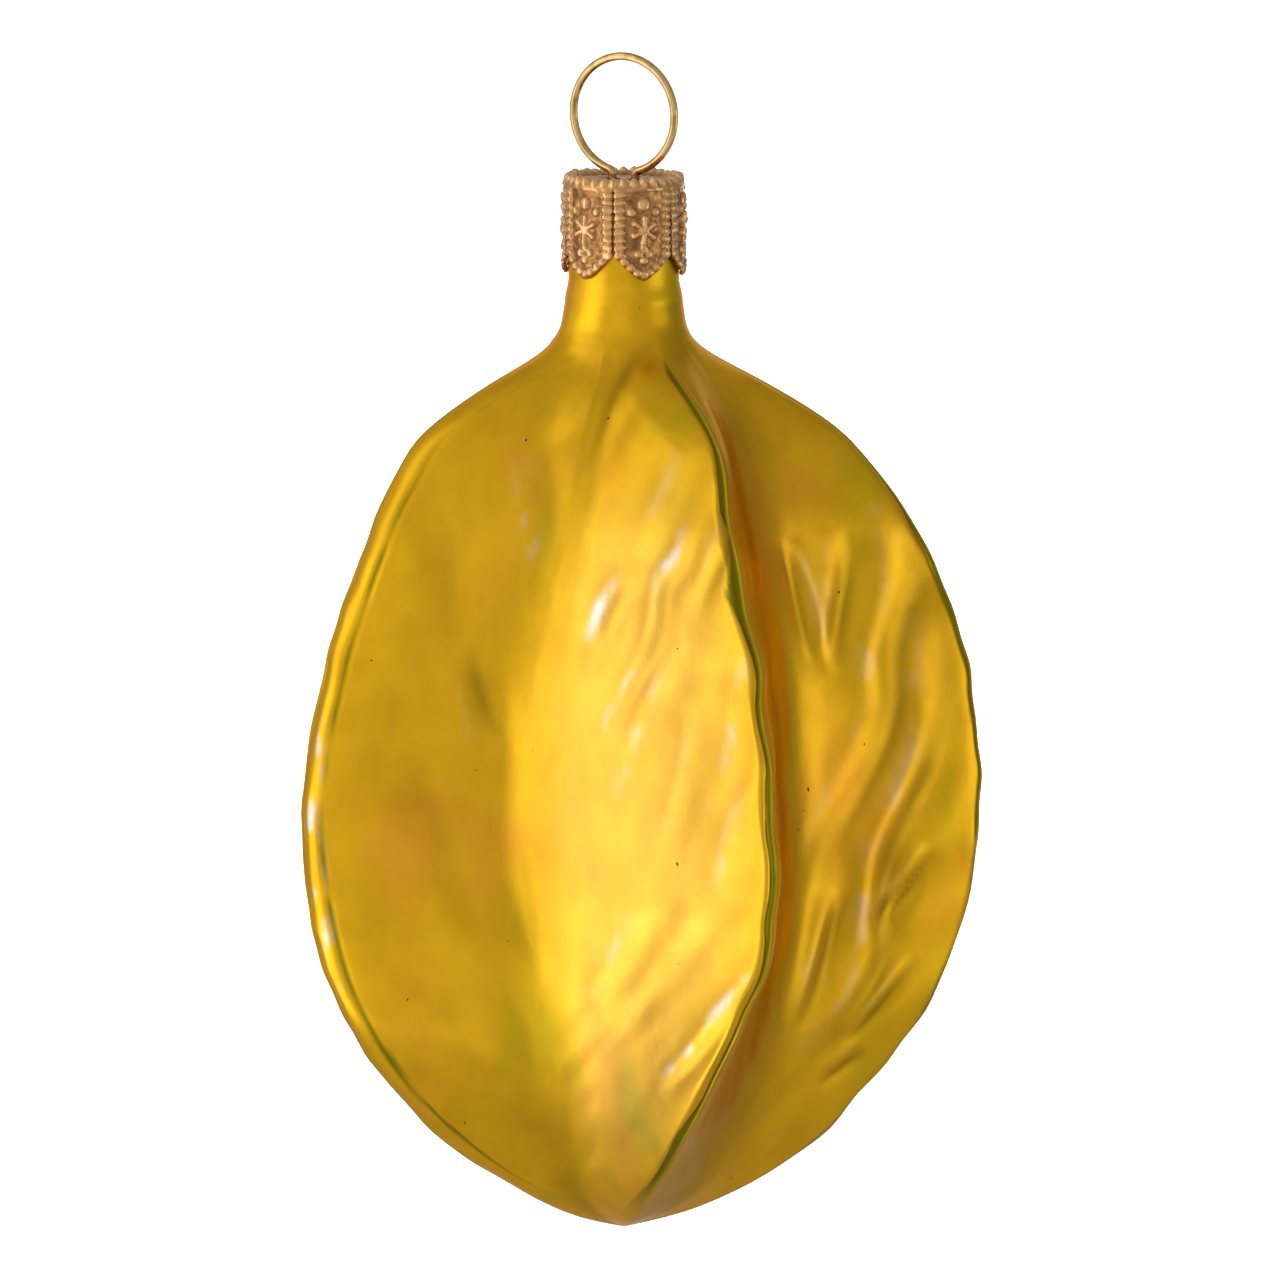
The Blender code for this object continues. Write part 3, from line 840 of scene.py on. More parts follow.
    def flank_grid(self, rib: Rib, side: Side, crest_at: np.ndarray, bottom: np.ndarray,
                   valley: np.ndarray, share: np.ndarray) -> dict[str, np.ndarray]:
        """One flank as a grid, its columns running from the crest (kept) to the valley (left out).

        Args:
            rib: the rib that the flank belongs to.
            side: which of its flanks.
            crest_at: azimuth of the crest in each row.
            bottom: azimuth of the valley in each row.
            valley: radius of the valley in each row.
            share: share of the length of each row.

        Returns:
            Azimuths, radii, ways from crest to valley, distances across, and how much painted shade lies
            in the crest's band and towards the valley and how much painted pale highlight between them,
            one row for each row of the fruit.
        """
        crest = self.crest_radius(rib, share)
        gap = np.abs(bottom - crest_at)
        wide = np.sqrt(crest**2 + valley**2 - 2 * crest * valley * np.cos(gap))
        way = self.ways(rib.columns[side.place], wide)
        across = way * wide[:, None]
        crest, valley, gap = crest[:, None], valley[:, None], gap[:, None]
        turn = np.arctan2(valley * way * np.sin(gap), crest * (1 - way) + valley * way * np.cos(gap))
        land = rib.land[side.place] * ramp(0.05, 0.2, share) * (1 - 0.6 * ramp(0.9, 1.0, share))
        edge_round = rib.edge_round[side.place]
        radius = self.flank_radius(turn / gap, gap, crest, valley, land[:, None], edge_round)
        radius = radius - self.crest_nicks(rib, share)[:, None] * np.exp(-((across / self.nick_reach) ** 2))
        # Painted shade, growing towards the valley.
        valley_shade = rib.pool[side.place] * ramp(*rib.valley_shade_ways[side.place], way)
        valley_shade = valley_shade * (0.6 + 0.4 * ramp(0.35, 0.75, share))[:, None]
        # Painted pale highlight on the middle of the flank.
        pale_highlight = rib.pale_highlight[side.place] * ramp(0.02, 0.3, way) * (1 - ramp(0.75, 1.0, way))
        pale_highlight = pale_highlight * (ramp(0.12, 0.3, share) * (1 - ramp(0.8, 0.97, share)))[:, None]
        return {"azimuth": crest_at[:, None] + side * turn, "radius": radius, "way": way,
                "across": across, "shaded_band": self.shaded_band(rib, side, across, share),
                "valley_shade": valley_shade, "pale_highlight": pale_highlight}

    def shaded_band(self, rib: Rib, side: Side, across: np.ndarray, share: np.ndarray) -> np.ndarray:
        """Painted shade in the band along a crest, over its olive lacquer.

        Formula: a soft step up at the band's start and down at its uneven far edge.

        Args:
            rib: the rib.
            side: which of its flanks.
            across: distance of each point from the crest.
            share: share of the length of each row.

        Returns:
            How much of the band's painted shade lies at each point, from 0 to 1.
        """
        band = rib.bands[side.place]
        level = np.zeros_like(share)
        wave = wave_noise(share * 17, level, rib.seed + 4)
        wave = wave + 0.5 * wave_noise(share * 40, level, rib.seed + 5)
        course = np.interp(share, *np.array(band.course).T)
        width = (np.maximum(1 + band.uneven * wave, 0.1) * band.width * course)[:, None]
        end = band.start + width
        lacquer = ramp(band.start - self.band_edge, band.start + self.band_edge, across)
        lacquer = lacquer * (1 - ramp(end - self.band_edge, end + self.band_edge, across))
        return lacquer * min(band.width * 8, 1.0)

    def base_grid(self) -> dict[str, np.ndarray]:
        """The smooth fruit as a grid: rows go down the length, columns go round.

        Returns:
            The points, and for each point its azimuth, radius, share of the length, way from
            crest (0) to valley (1), distance from the crest and distance down in millimetres, how
            much painted shade lies in the crest's band and towards the valley and how much painted pale
            highlight between them, the number of its rib and its side of that rib.
        """
        share = self.row_shares()
        valley = self.outline(self.valley_outline, self.valley_radius, share)
        valley = np.minimum(valley, self.outline(self.crest_outline, self.full_radius, share))
        level = np.zeros_like(share)
        even = np.linspace(0, 1, 801)
        keys = ("azimuth", "radius", "way", "across", "shaded_band", "valley_shade", "pale_highlight", "rib", "side")
        parts: dict[str, list[np.ndarray]] = {key: [] for key in keys}
        for number, rib in enumerate(self.ribs):
            after = (number + 1) % len(self.ribs)
            following = self.ribs[after]
            here = self.crest_azimuth(rib, share)
            there = self.crest_azimuth(following, share) + (math.tau if after == 0 else 0.0)
            lean = soften(np.interp(even, *np.array(rib.valley_lean).T), 0.03)
            bottom = (here + there) / 2 + np.radians(np.interp(share, even, lean)) * ramp(0.03, 0.1, share)
            rising = self.flank_grid(rib, Side.AFTER, here, bottom, valley, share)
            falling = self.flank_grid(following, Side.BEFORE, there, bottom, valley, share)
            full_width = falling["across"][:, -1] / falling["way"][:, -1]
            deepest = {"azimuth": bottom, "radius": valley, "way": level + 1, "across": full_width,
                       "shaded_band": level, "valley_shade": rising["valley_shade"][:, -1], "pale_highlight": level}
            for key, column in deepest.items():
                turned = np.concatenate([column[:, None], falling[key][:, :0:-1]], axis=1)
                parts[key] += [rising[key], turned]
            for flank, owner, side in ((rising, number, Side.AFTER), (falling, after, Side.BEFORE)):
                parts["rib"].append(np.full(flank["way"].shape, owner))
                parts["side"].append(np.full(flank["way"].shape, int(side)))
        grid = {key: np.concatenate(values, axis=1) for key, values in parts.items()}
        for key in ("valley_shade", "pale_highlight"):
            grid[key] = self.blur_round(grid[key])
        height = np.broadcast_to((self.root_z - self.length * share)[:, None], grid["radius"].shape)
        grid["points"] = np.stack([grid["radius"] * np.sin(grid["azimuth"]),
                                   -grid["radius"] * np.cos(grid["azimuth"]), height], axis=-1)
        grid["share"] = np.broadcast_to(share[:, None], height.shape)
        grid["down"] = self.root_z - height
        return grid

    def blur_round(self, values: np.ndarray) -> np.ndarray:
        """Average each row of a grid over the columns beside it.

        Formula: a bell-shaped weight that is five columns wide.

        Args:
            values: one number for each point of the grid.

        Returns:
            The averaged numbers.
        """
        steps = np.arange(-12, 13)
        weight = np.exp(-0.5 * (steps / 5.0) ** 2)
        weight = weight / weight.sum()
        return sum(part * np.roll(values, step, axis=1) for step, part in zip(steps, weight))

    def pillows(self, grid: dict[str, np.ndarray]) -> np.ndarray:
        """Broad soft pillows on every flank, lying obliquely from valley up to crest.

        Formula: smooth noise in coordinates turned so that its long way rises to the crest.

        Args:
            grid: the smooth fruit.

        Returns:
            The relief in millimetres.
        """
        lean = math.radians(self.pillow_lean)
        long_way = grid["down"] * math.cos(lean) + grid["across"] * math.sin(lean)
        short_way = grid["across"] * math.cos(lean) - grid["down"] * math.sin(lean)
        relief = np.zeros_like(long_way)
        for number in range(len(self.ribs)):
            for side in Side:
                mine = (grid["rib"] == number) & (grid["side"] == side)
                seed = 100 + 10 * number + side
                pillow = wave_noise(short_way / 4.6, long_way / 15.0 + 3 * side, seed)
                ripple = wave_noise(short_way / 2.1, long_way / 8.0, seed + 3)
                dimple = wave_noise(short_way / 1.3, long_way / 2.2, seed + 4)
                relief = np.where(mine, 0.13 * pillow + 0.06 * ripple + 0.012 * dimple, relief)
        return relief

    def unseen_folds(self) -> list[Fold]:
        """Folds of the same kind on the other flanks, at places drawn by a fixed seed.

        Returns:
            Seven folds for each of those flanks.
        """
        draw = np.random.default_rng(2024)
        folds = []
        for rib, side in UNSEEN_FLANKS:
            for _ in range(7):
                down, way = draw.uniform(0.15, 0.72), draw.uniform(0.12, 0.6)
                run = draw.uniform(0.08, 0.22)
                bend = draw.uniform(-0.06, 0.06)
                middle = (down + run / 2, way + run * 0.75 + bend)
                stroke = ((down, way), middle, (down + run, way + run * 1.5))
                height = -side * draw.uniform(0.12, 0.26)
                folds.append(Fold(rib, side, stroke, draw.uniform(0.9, 1.3), height, 0.2, 0.4))
        return folds

    def fold(self, grid: dict[str, np.ndarray]) -> tuple[np.ndarray, np.ndarray, np.ndarray]:
        """Press every fold into the flanks.

        Formula: with d the distance to the stroke, positive on its crest side, and w the fold's
        width, the height is -d/w times the bell exp(-(d/w)^2 / 2), fading to nothing at both ends.

        Args:
            grid: the smooth fruit.

        Returns:
            The relief in millimetres, and the wear and the painted shade in the groove from 0 to 1.
        """
        relief = np.zeros(grid["share"].shape)
        wear = np.zeros_like(relief)
        crease_shade = np.zeros_like(relief)
        steps = np.linspace(0, 1, 72)
        for fold in (*self.folds, *self.unseen_folds()):
            row, column = np.nonzero((grid["rib"] == fold.rib) & (grid["side"] == fold.side))
            down, across = grid["down"][row, column], grid["across"][row, column]
            wide = np.maximum(grid["across"][row, column] / np.maximum(grid["way"][row, column], 1e-3), 1.0)
            knots = np.array(fold.stroke)
            order = np.arange(len(knots)) / (len(knots) - 1)
            line_down = smooth_curve(list(zip(order, knots[:, 0])), steps) * self.length
            line_way = smooth_curve(list(zip(order, knots[:, 1])), steps)
            off_down = down[:, None] - line_down
            off_across = across[:, None] - line_way * wide[:, None]
            near = np.argmin(off_down**2 + off_across**2, axis=1)
            off_down = off_down[np.arange(len(near)), near]
            off_across = off_across[np.arange(len(near)), near]
            run_down = np.gradient(line_down)[near]
            run_across = np.gradient(line_way)[near] * wide
            pace = np.hypot(run_down, run_across)
            ahead = (run_down * off_down + run_across * off_across) / pace
            signed = (run_across * off_down - run_down * off_across) / pace
            beyond = np.maximum(np.abs(ahead) - pace, 0)
            distance = np.hypot(signed, beyond)
            place = steps[near] + np.clip(ahead / pace, -0.5, 0.5) * steps[1]
            fade = np.sin(math.pi * np.clip(place, 0.0, 1.0)) ** 0.8
            bell = np.exp(-0.5 * (distance / fold.width) ** 2) * fade
            relief[row, column] += -1.65 * fold.height * signed / fold.width * bell
            ridge_side = signed + math.copysign(fold.width, fold.height)
            groove_side = signed - math.copysign(0.8 * fold.width, fold.height)
            worn = fold.worn * fade * np.exp(-((ridge_side / (0.5 * fold.width)) ** 2))
            # Painted shade in the groove.
            groove_shade = fold.groove_shade * fade * np.exp(-((groove_side / (0.55 * fold.width)) ** 2))
            wear[row, column] = np.maximum(wear[row, column], worn)
            crease_shade[row, column] = np.maximum(crease_shade[row, column], groove_shade)
        return relief, wear, crease_shade

    def seam(self, grid: dict[str, np.ndarray]) -> np.ndarray:
        """Thin raised seam on each crest, and the shallow groove of its band of painted shade.

        Formula: a narrow bell on the crest less the band's own depth.

        Args:
            grid: the smooth fruit.

        Returns:
            The relief in millimetres.
        """
        own = np.array([rib.seam for rib in self.ribs])[grid["rib"]]
        own = own * ramp(0.05, 0.12, grid["share"])
        bead = own * self.seam_height * np.exp(-((grid["across"] / self.seam_width) ** 2))
        return bead - self.band_depth * grid["shaded_band"]

    def build(self) -> bpy.types.Object:
        """Build the glass as one closed shell and dress it.

        Returns:
            The finished piece, which stands for the CAD body.
        """
        grid = self.base_grid()
        base = grid["points"]
        share, way = grid["share"], grid["way"]
        held = ramp(0.02, 0.07, share) * (1 - ramp(0.90, 0.98, share))
        inside = ramp(0.03, 0.10, way) * (1 - 0.7 * ramp(0.80, 1.0, way))
        folds, wear, crease_shade = self.fold(grid)
        relief = (self.pillows(grid) + folds) * inside + self.seam(grid)
        outer = base + grid_normals(base) * (relief * held)[..., None]
        neck = self.neck(np.arctan2(base[0, :, 0], -base[0, :, 1]))
        outer = np.concatenate([neck, outer], axis=0)
        points, faces = self.close_shell(outer, np.concatenate([neck, base], axis=0))
        piece = new_piece("blown_glass_fruit", points, faces)
        # Painted shade along the crests, stored as land: the bands, and a dark line on each seam.
        bead = self.seam_shade * np.exp(-((grid["across"] / self.seam_shade_width) ** 2))
        land = np.maximum(grid["shaded_band"], bead * ramp(0.05, 0.12, share))
        above, beyond = neck.shape[0] * neck.shape[1], len(points) - outer.shape[0] * outer.shape[1]
        for name, values in (("land", land * held), ("crease_shade", crease_shade * held), ("wear", wear * held),
                             ("valley_shade", grid["valley_shade"]), ("pale_highlight", grid["pale_highlight"])):
            paint(piece, name, np.pad(values.ravel(), (above, beyond)))
        piece.data.materials.append(SatinLacquer().make())
        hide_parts("glass_body")
        return piece

    def neck(self, azimuth: np.ndarray) -> np.ndarray:
        """Rows of the neck from its rim to just above its root, straight under the cap.

        Args:
            azimuth: azimuth of each column.

        Returns:
            The grid of points.
        """
        heights = np.linspace(self.rim_z, self.root_z, self.neck_rows + 1)[:-1, None]
        widening = ramp(self.rim_z - self.straight_neck, self.root_z, heights)
        radius = self.neck_radius + (self.root_radius - self.neck_radius) * widening
        return np.stack([radius * np.sin(azimuth), -radius * np.cos(azimuth),
                         heights + 0 * azimuth], axis=-1)

    def close_shell(self, outer: np.ndarray, smooth: np.ndarray) -> tuple[np.ndarray, list[list[int]]]:
        """Close the outer wall, a coarser inner wall, the rim and both tips into one shell.

        Args:
            outer: the outer wall with its folds.
            smooth: the same wall without them, from which the inner wall is set back.

        Returns:
            The points and faces of the shell.
        """
        rows, columns, _ = outer.shape
        every = self.inner_every
        inward = smooth - grid_normals(smooth) * self.wall
        inward[0, :, 2] = outer[0, :, 2]
        rim, inner = inward[0], inward[every:-every:every, ::every]
        inner_rows, inner_columns, _ = inner.shape
        points = [outer.reshape(-1, 3), [[0.0, 0.0, self.tip_z]], rim,
                  inner.reshape(-1, 3), [[0.0, 0.0, self.tip_z + self.inner_tip]]]
        outer_tip = rows * columns
        rim_start = outer_tip + 1
        inner_start = rim_start + columns
        inner_tip = inner_start + inner_rows * inner_columns
        around, inner_around = np.arange(columns), np.arange(inner_columns)
        beside, inner_beside = np.roll(around, -1), np.roll(inner_around, -1)
        lip = np.stack([around, beside, rim_start + beside, rim_start + around], axis=1)
        steps = rim_start + (inner_around[:, None] * every + np.arange(every + 1)) % columns
        ledge = inner_start + np.stack([inner_beside, inner_around], axis=1)
        shelf = np.concatenate([steps, ledge], axis=1)
        faces = [grid_quads(rows, columns), fan(outer_tip - columns + around, outer_tip), lip, shelf,
                 grid_quads(inner_rows, inner_columns, inner_start)[:, ::-1],
                 fan(inner_tip - inner_columns + inner_around, inner_tip)[:, ::-1]]
        return np.concatenate(points, axis=0), [face for part in faces for face in part.tolist()]


# ==== Crown cap ================================================================================
@dataclass
class CrownCap:
    """The stamped cap: a beaded top with two wire holes and six slit, pointed petals.

    Lengths are in millimetres and turns in degrees.  relief_datum is the share of the full relief
    that lies on the cap's nominal surface; what is lower is pressed in.
    """

    sheet: float = 0.2
    petals: int = 6
    petal_azimuth: float = 20.0
    shoulder: float = 0.8
    point_height: float = 2.1
    slit_length: float = 3.8
    slit_width: float = 0.16
    hole_radius: float = 0.675
    leg_spacing: float = 2.36
    loop_turn: float = 30.0
    petal_columns: int = 56
    side_rows: int = 84
    bend_rows: int = 5
    merge_within: float = 0.002
    relief_height: float = 0.32
    relief_datum: float = 0.7
    rim_beads: int = 34
    rope_pitch: float = 0.66
    star_up: float = 4.4

    def __post_init__(self) -> None:
        """Take the cap's radius and heights from the frame."""
        low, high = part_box("crown_cap")
        self.radius = (high[0] - low[0]) / 2 / MM
        self.top_z = high[2] / MM
        self.tip_z = low[2] / MM

    def beads(self, across: np.ndarray, up: np.ndarray, centres: np.ndarray, radius: float) -> np.ndarray:
        """Half-round beads: the height of a ball of that radius on each centre, from 0 to 1.

        Args:
            across: first coordinate of each point.
            up: second coordinate of each point.
            centres: one row of two coordinates for each bead.
            radius: radius of a bead.

        Returns:
            The tallest bead's height at each point, as a share of the radius.
        """
        height = np.zeros_like(across)
        for centre_across, centre_up in centres:
            reach = ((across - centre_across) ** 2 + (up - centre_up) ** 2) / radius**2
            height = np.maximum(height, np.sqrt(np.clip(1 - reach, 0, 1)))
        return height

    def bar(self, across: np.ndarray, up: np.ndarray, start: tuple[float, float],
            end: tuple[float, float], radius: float) -> np.ndarray:
        """A raised bar with round ends.

        Args:
            across: first coordinate of each point.
            up: second coordinate of each point.
            start: one end of the bar.
            end: the other end.
            radius: half of its width.

        Returns:
            The bar's height at each point, from 0 to 1.
        """
        run = np.array(end) - np.array(start)
        part = ((across - start[0]) * run[0] + (up - start[1]) * run[1]) / (run @ run)
        part = np.clip(part, 0, 1)
        off_across = across - start[0] - part * run[0]
        off_up = up - start[1] - part * run[1]
        reach = (off_across**2 + off_up**2) / radius**2
        return np.sqrt(np.clip(1 - reach, 0, 1))

    def petal_bottom(self, across: np.ndarray) -> np.ndarray:
        """Height of the petal's pointed edge above the tip, at a share -1 to 1 across the petal."""
        blunt = 0.07
        return self.point_height * (np.clip(np.abs(across) - blunt, 0, 1) / (1 - blunt)) ** 1.25

    def petal_relief(self, across: np.ndarray, up: np.ndarray) -> np.ndarray:
        """Stamped work on a petal, from 0 to 1.

        Args:
            across: distance from the petal's middle line.
            up: height above the petal's tip.

        Returns:
            The height of the work: a beaded border along the slits and the point, a large bead
            under the shoulder, a six-armed star and a cluster of beads below it.
        """
        half = math.pi / self.petals * self.radius
        height = np.zeros_like(across)
        for level in np.arange(self.point_height + 0.1, 7.8, self.rope_pitch):
            for side in Side:
                outer, inner = (side * (half - 0.28), level), (side * (half - 0.78), level + 0.08)
                height = np.maximum(height, 0.85 * self.bar(across, up, outer, inner, 0.34))
        for share in np.linspace(0.0, 0.86, 5):
            level = float(self.petal_bottom(np.array(share))) + 0.5
            rim = self.beads(across, up, np.array([(share * half, level), (-share * half, level)]), 0.42)
            height = np.maximum(height, 0.9 * rim)
        height = np.maximum(height, self.beads(across, up, np.array([(0.0, 6.7)]), 0.62))
        for arm in range(6):
            turn = math.radians(60 * arm + 4)
            end = (1.05 * math.sin(turn), self.star_up + 1.1 * math.cos(turn))
            height = np.maximum(height, 0.95 * self.bar(across, up, (0.0, self.star_up), end, 0.25))
            height = np.maximum(height, self.beads(across, up, np.array([end]), 0.30))
        cluster = np.array([(-0.5, 2.35), (0.5, 2.35), (0.0, 1.75), (0.0, 2.75), (-1.2, 6.0), (1.2, 6.0)])
        return np.maximum(height, 0.9 * self.beads(across, up, cluster, 0.42))

    def petal_grid(self, number: int) -> tuple[np.ndarray, np.ndarray]:
        """Sheet of one sixth of the cap, from the middle of the top to the petal's point.

        Args:
            number: which petal.

        Returns:
            The points, rows running outwards and down, and the relief at each point.
        """
        columns = np.linspace(-1, 1, self.petal_columns + 1)
        half_turn = math.pi / self.petals
        corner = self.radius - self.shoulder
        slit_top = self.point_height + self.slit_length
        outwards = np.concatenate([np.linspace(0.02, 0.62, 12), np.linspace(0.66, 1.0, 16)])
        disc = outwards[:, None] * corner + 0 * columns
        bend = np.linspace(0, math.pi / 2, self.bend_rows + 2)[1:-1, None] + 0 * columns
        height = self.top_z - self.shoulder - self.tip_z
        down = np.linspace(0, 1, self.side_rows)[:, None]
        up = height + (self.petal_bottom(columns) - height) * down
        open_share = ramp(slit_top + 0.25, slit_top - 0.25, up)
        turn = columns * (half_turn - open_share * self.slit_width / 2 / self.radius)
        top_turn = np.broadcast_to(columns * half_turn, (len(disc) + len(bend), len(columns)))
        radius = np.concatenate([disc, corner + self.shoulder * np.sin(bend),
                                 np.full(up.shape, self.radius)])
        level = np.concatenate([np.full(disc.shape, self.top_z),
                                self.top_z - self.shoulder * (1 - np.cos(bend)), self.tip_z + up])
        slope = np.concatenate([np.zeros(disc.shape), bend, np.full(up.shape, math.pi / 2)])
        azimuth = math.radians(self.petal_azimuth) + 2 * half_turn * number
        azimuth = azimuth + np.concatenate([top_turn, turn])
        relief = np.concatenate([self.top_relief(radius[:len(top_turn)], azimuth[:len(top_turn)]),
                                 self.petal_relief(turn * self.radius, up)])
        uneven = 0.16 * wave_noise(azimuth * 9.0, level * 1.6, 7)
        pebbles = 0.12 * wave_noise(azimuth * 13.0, level * 2.6, 8) * (relief < 0.3)
        sunk = (relief * (1 + uneven) + 0.5 * uneven + pebbles - self.relief_datum) * self.relief_height
        radius = radius + sunk * np.sin(slope)
        level = level + sunk * np.cos(slope)
        points = np.stack([radius * np.sin(azimuth), -radius * np.cos(azimuth), level], axis=-1)
        return points, relief

    def top_relief(self, radius: np.ndarray, azimuth: np.ndarray) -> np.ndarray:
        """Stamped work on the cap's top: a ring of round beads along its edge.

        Args:
            radius: distance of each point from the axis.
            azimuth: azimuth of each point.

        Returns:
            The height of the work, 1 being that of the work on the petals.
        """
        ring = self.radius - 0.66
        pitch = math.tau / self.rim_beads
        off = (np.mod(azimuth + pitch / 2, pitch) - pitch / 2) * ring
        reach = (off**2 + (radius - ring) ** 2) / 0.5**2
        beads = 1.9 * np.sqrt(np.clip(1 - reach, 0, 1))
        wall = 0.5 * ramp(self.radius - 1.5, self.radius - 1.1, radius)
        return np.maximum(beads, wall)

    def build(self) -> bpy.types.Object:
        """Build the cap and dress it.

        Returns:
            The finished piece, which stands for the CAD cap.
        """
        petals = [self.petal_grid(number) for number in range(self.petals)]
        points = np.stack([part for part, _ in petals])
        relief = np.stack([part for _, part in petals])
        count, rows, columns, _ = points.shape
        start = np.arange(count)[:, None, None] * rows * columns
        quads = (start + grid_quads(rows, columns, closed=False)).reshape(-1, 4)
        middle = (start[:, 0] + np.arange(columns - 1)).reshape(1, -1)
        points, quads = self.pierce(points.reshape(-1, 3), quads)
        used = np.unique(quads)
        faces = [*np.searchsorted(used, quads).tolist(), *np.searchsorted(used, middle).tolist()]
        piece = new_piece("stamped_crown_cap", points[used], faces)
        paint(piece, "relief", relief.ravel()[used])
        self.join_petals(piece)
        wall = piece.modifiers.new("sheet", "SOLIDIFY")
        wall.thickness = self.sheet * MM
        wall.offset = -1
        wall.use_rim = True
        piece.data.materials.append(StampedSheet().make())
        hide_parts("crown_cap")
        return piece

    def pierce(self, points: np.ndarray, quads: np.ndarray) -> tuple[np.ndarray, np.ndarray]:
        """Open the two wire holes in the top.

        Formula: a face with all its corners inside a hole is dropped, and a point inside a hole
        moves straight outwards to the hole's edge.

        Args:
            points: the cap's points.
            quads: its faces.

        Returns:
            The points moved and the faces left.
        """
        turn = math.radians(self.loop_turn)
        for side in Side:
            centre = side * self.leg_spacing / 2 * np.array([math.cos(turn), -math.sin(turn)])
            offset = points[:, :2] - centre
            away = np.linalg.norm(offset, axis=1, keepdims=True)
            inside = (points[:, 2] > self.top_z - 0.4) & (away[:, 0] < self.hole_radius)
            quads = quads[~inside[quads].all(axis=1)]
            edge = centre + offset / np.maximum(away, 1e-6) * self.hole_radius
            points = np.concatenate([np.where(inside[:, None], edge, points[:, :2]), points[:, 2:]], axis=1)
        return points, quads

    def join_petals(self, piece: bpy.types.Object) -> None:
        """Merge the points that two petals share.

        Args:
            piece: the cap.
        """
        form = bmesh.new()
        form.from_mesh(piece.data)
        bmesh.ops.remove_doubles(form, verts=form.verts, dist=self.merge_within * MM)
        form.to_mesh(piece.data)
        form.free()


# ==== Hanger wire ==============================================================================
@dataclass
class HangerWire:
    """The sprung wire: a round loop and two legs that stand inside the neck.

    Lengths are in millimetres.  leg_route gives a leg's distance from the axis by its depth.
    """

    diameter: float = 0.75
    loop_bore: float = 9.47
    bend_radius: float = 0.5
    lift: float = 0.15
    leg_spacing: float = 2.36
    leg_length: float = 20.5
    loop_turn: float = 30.0
    leg_route: Curve = ((0.0, 1.18), (0.8, 1.18), (8.9, 3.425), (11.05, 3.575), (14.79, 4.45), (20.5, 6.6))
    sides: int = 20
    loop_steps: int = 90
    bend_steps: int = 12
    leg_steps: int = 70

    def half_route(self) -> np.ndarray:
        """Right half of the wire's middle line in its own plane, from the loop's top to the foot.

        Formula: an arc of the loop, a small arc that turns down, and a smooth curve in the neck.

        Returns:
            One row for each point: its distance from the axis and its height.
        """
        wire = self.diameter / 2
        loop = self.loop_bore / 2 + wire
        centre = -self.loop_bore / 2
        offset = self.leg_spacing / 2
        drop = math.sqrt((loop + self.bend_radius) ** 2 - (offset + self.bend_radius) ** 2)
        join = math.atan2(offset + self.bend_radius, drop)
        arc = np.linspace(0, math.pi - join, self.loop_steps, endpoint=False)
        bend = np.linspace(join, math.pi / 2, self.bend_steps)
        down = np.linspace(0, self.leg_length, self.leg_steps)
        top = centre - drop - self.lift
        across = np.concatenate([loop * np.sin(arc),
                                 offset + self.bend_radius * (1 - np.sin(bend)),
                                 smooth_curve(self.leg_route, down)])
        height = np.concatenate([centre + loop * np.cos(arc),
                                 centre - drop + self.bend_radius * np.cos(bend), top - down])
        return np.stack([across, height], axis=-1)

    def build(self) -> bpy.types.Object:
        """Build the wire as a closed tube with rounded ends and dress it.

        Returns:
            The finished piece, which stands for the CAD wire.
        """
        half = self.half_route()
        route = np.concatenate([half[:0:-1] * (-1, 1), half])
        tangent = np.gradient(route, axis=0)
        tangent /= np.linalg.norm(tangent, axis=1, keepdims=True)
        sideways = np.stack([-tangent[:, 1], tangent[:, 0]], axis=1)
        radius = np.full(len(route), self.diameter / 2)
        dome = np.linspace(0.15, math.pi / 2, 5)[:-1]
        push, shrink = radius[0] * np.cos(dome)[:, None], radius[0] * np.sin(dome)
        route = np.concatenate([route[0] - push * tangent[0], route, route[-1] + push[::-1] * tangent[-1]])
        radius = np.concatenate([shrink, radius, shrink[::-1]])
        sideways = np.pad(sideways, ((len(dome), len(dome)), (0, 0)), mode="edge")
        around = np.linspace(0, math.tau, self.sides, endpoint=False)
        across = route[:, None, 0] + radius[:, None] * np.cos(around) * sideways[:, None, 0]
        height = route[:, None, 1] + radius[:, None] * np.cos(around) * sideways[:, None, 1]
        deep = radius[:, None] * np.sin(around)
        turn = math.radians(-self.loop_turn)
        points = np.stack([across * math.cos(turn) - deep * math.sin(turn),
                           across * math.sin(turn) + deep * math.cos(turn), height], axis=-1)
        rows, columns, _ = points.shape
        faces = grid_quads(rows, columns)[:, ::-1].tolist()
        faces.append(list(range(columns)))
        faces.append(list(range(rows * columns - 1, (rows - 1) * columns - 1, -1)))
        piece = new_piece("sprung_hanger_wire", points.reshape(-1, 3), faces)
        piece.data.materials.append(DrawnBrass().make())
        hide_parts("hanger_wire")
        return piece


# ==== Studio ===================================================================================
@dataclass(frozen=True)
class Softbox:
    """A soft rectangular light, aimed at the middle of the ornament or at a point of its own.

    azimuth, elevation and spread are in degrees, lengths in metres and power in watts.
    """

    name: str
    azimuth: float
    elevation: float
    distance: float
    width: float
    height: float
    power: float
    spread: float = 180.0
    aim: tuple[float, float, float] = (0.0, 0.0, -0.05)

    def build(self) -> bpy.types.Object:
        """Place the light.

        Returns:
            The light.
        """
        data = bpy.data.lights.new(self.name, "AREA")
        data.shape = "RECTANGLE"
        data.size = self.width
        data.size_y = self.height
        data.energy = self.power
        data.spread = math.radians(self.spread)
        light = bpy.data.objects.new(self.name, data)
        bpy.context.scene.collection.objects.link(light)
        turn, rise = math.radians(self.azimuth), math.radians(self.elevation)
        away = Vector((math.sin(turn) * math.cos(rise), -math.cos(turn) * math.cos(rise), math.sin(rise)))
        light.location = Vector(self.aim) + self.distance * away
        light.rotation_euler = (-away).to_track_quat("-Z", "Y").to_euler()
        light.visible_camera = False
        return light


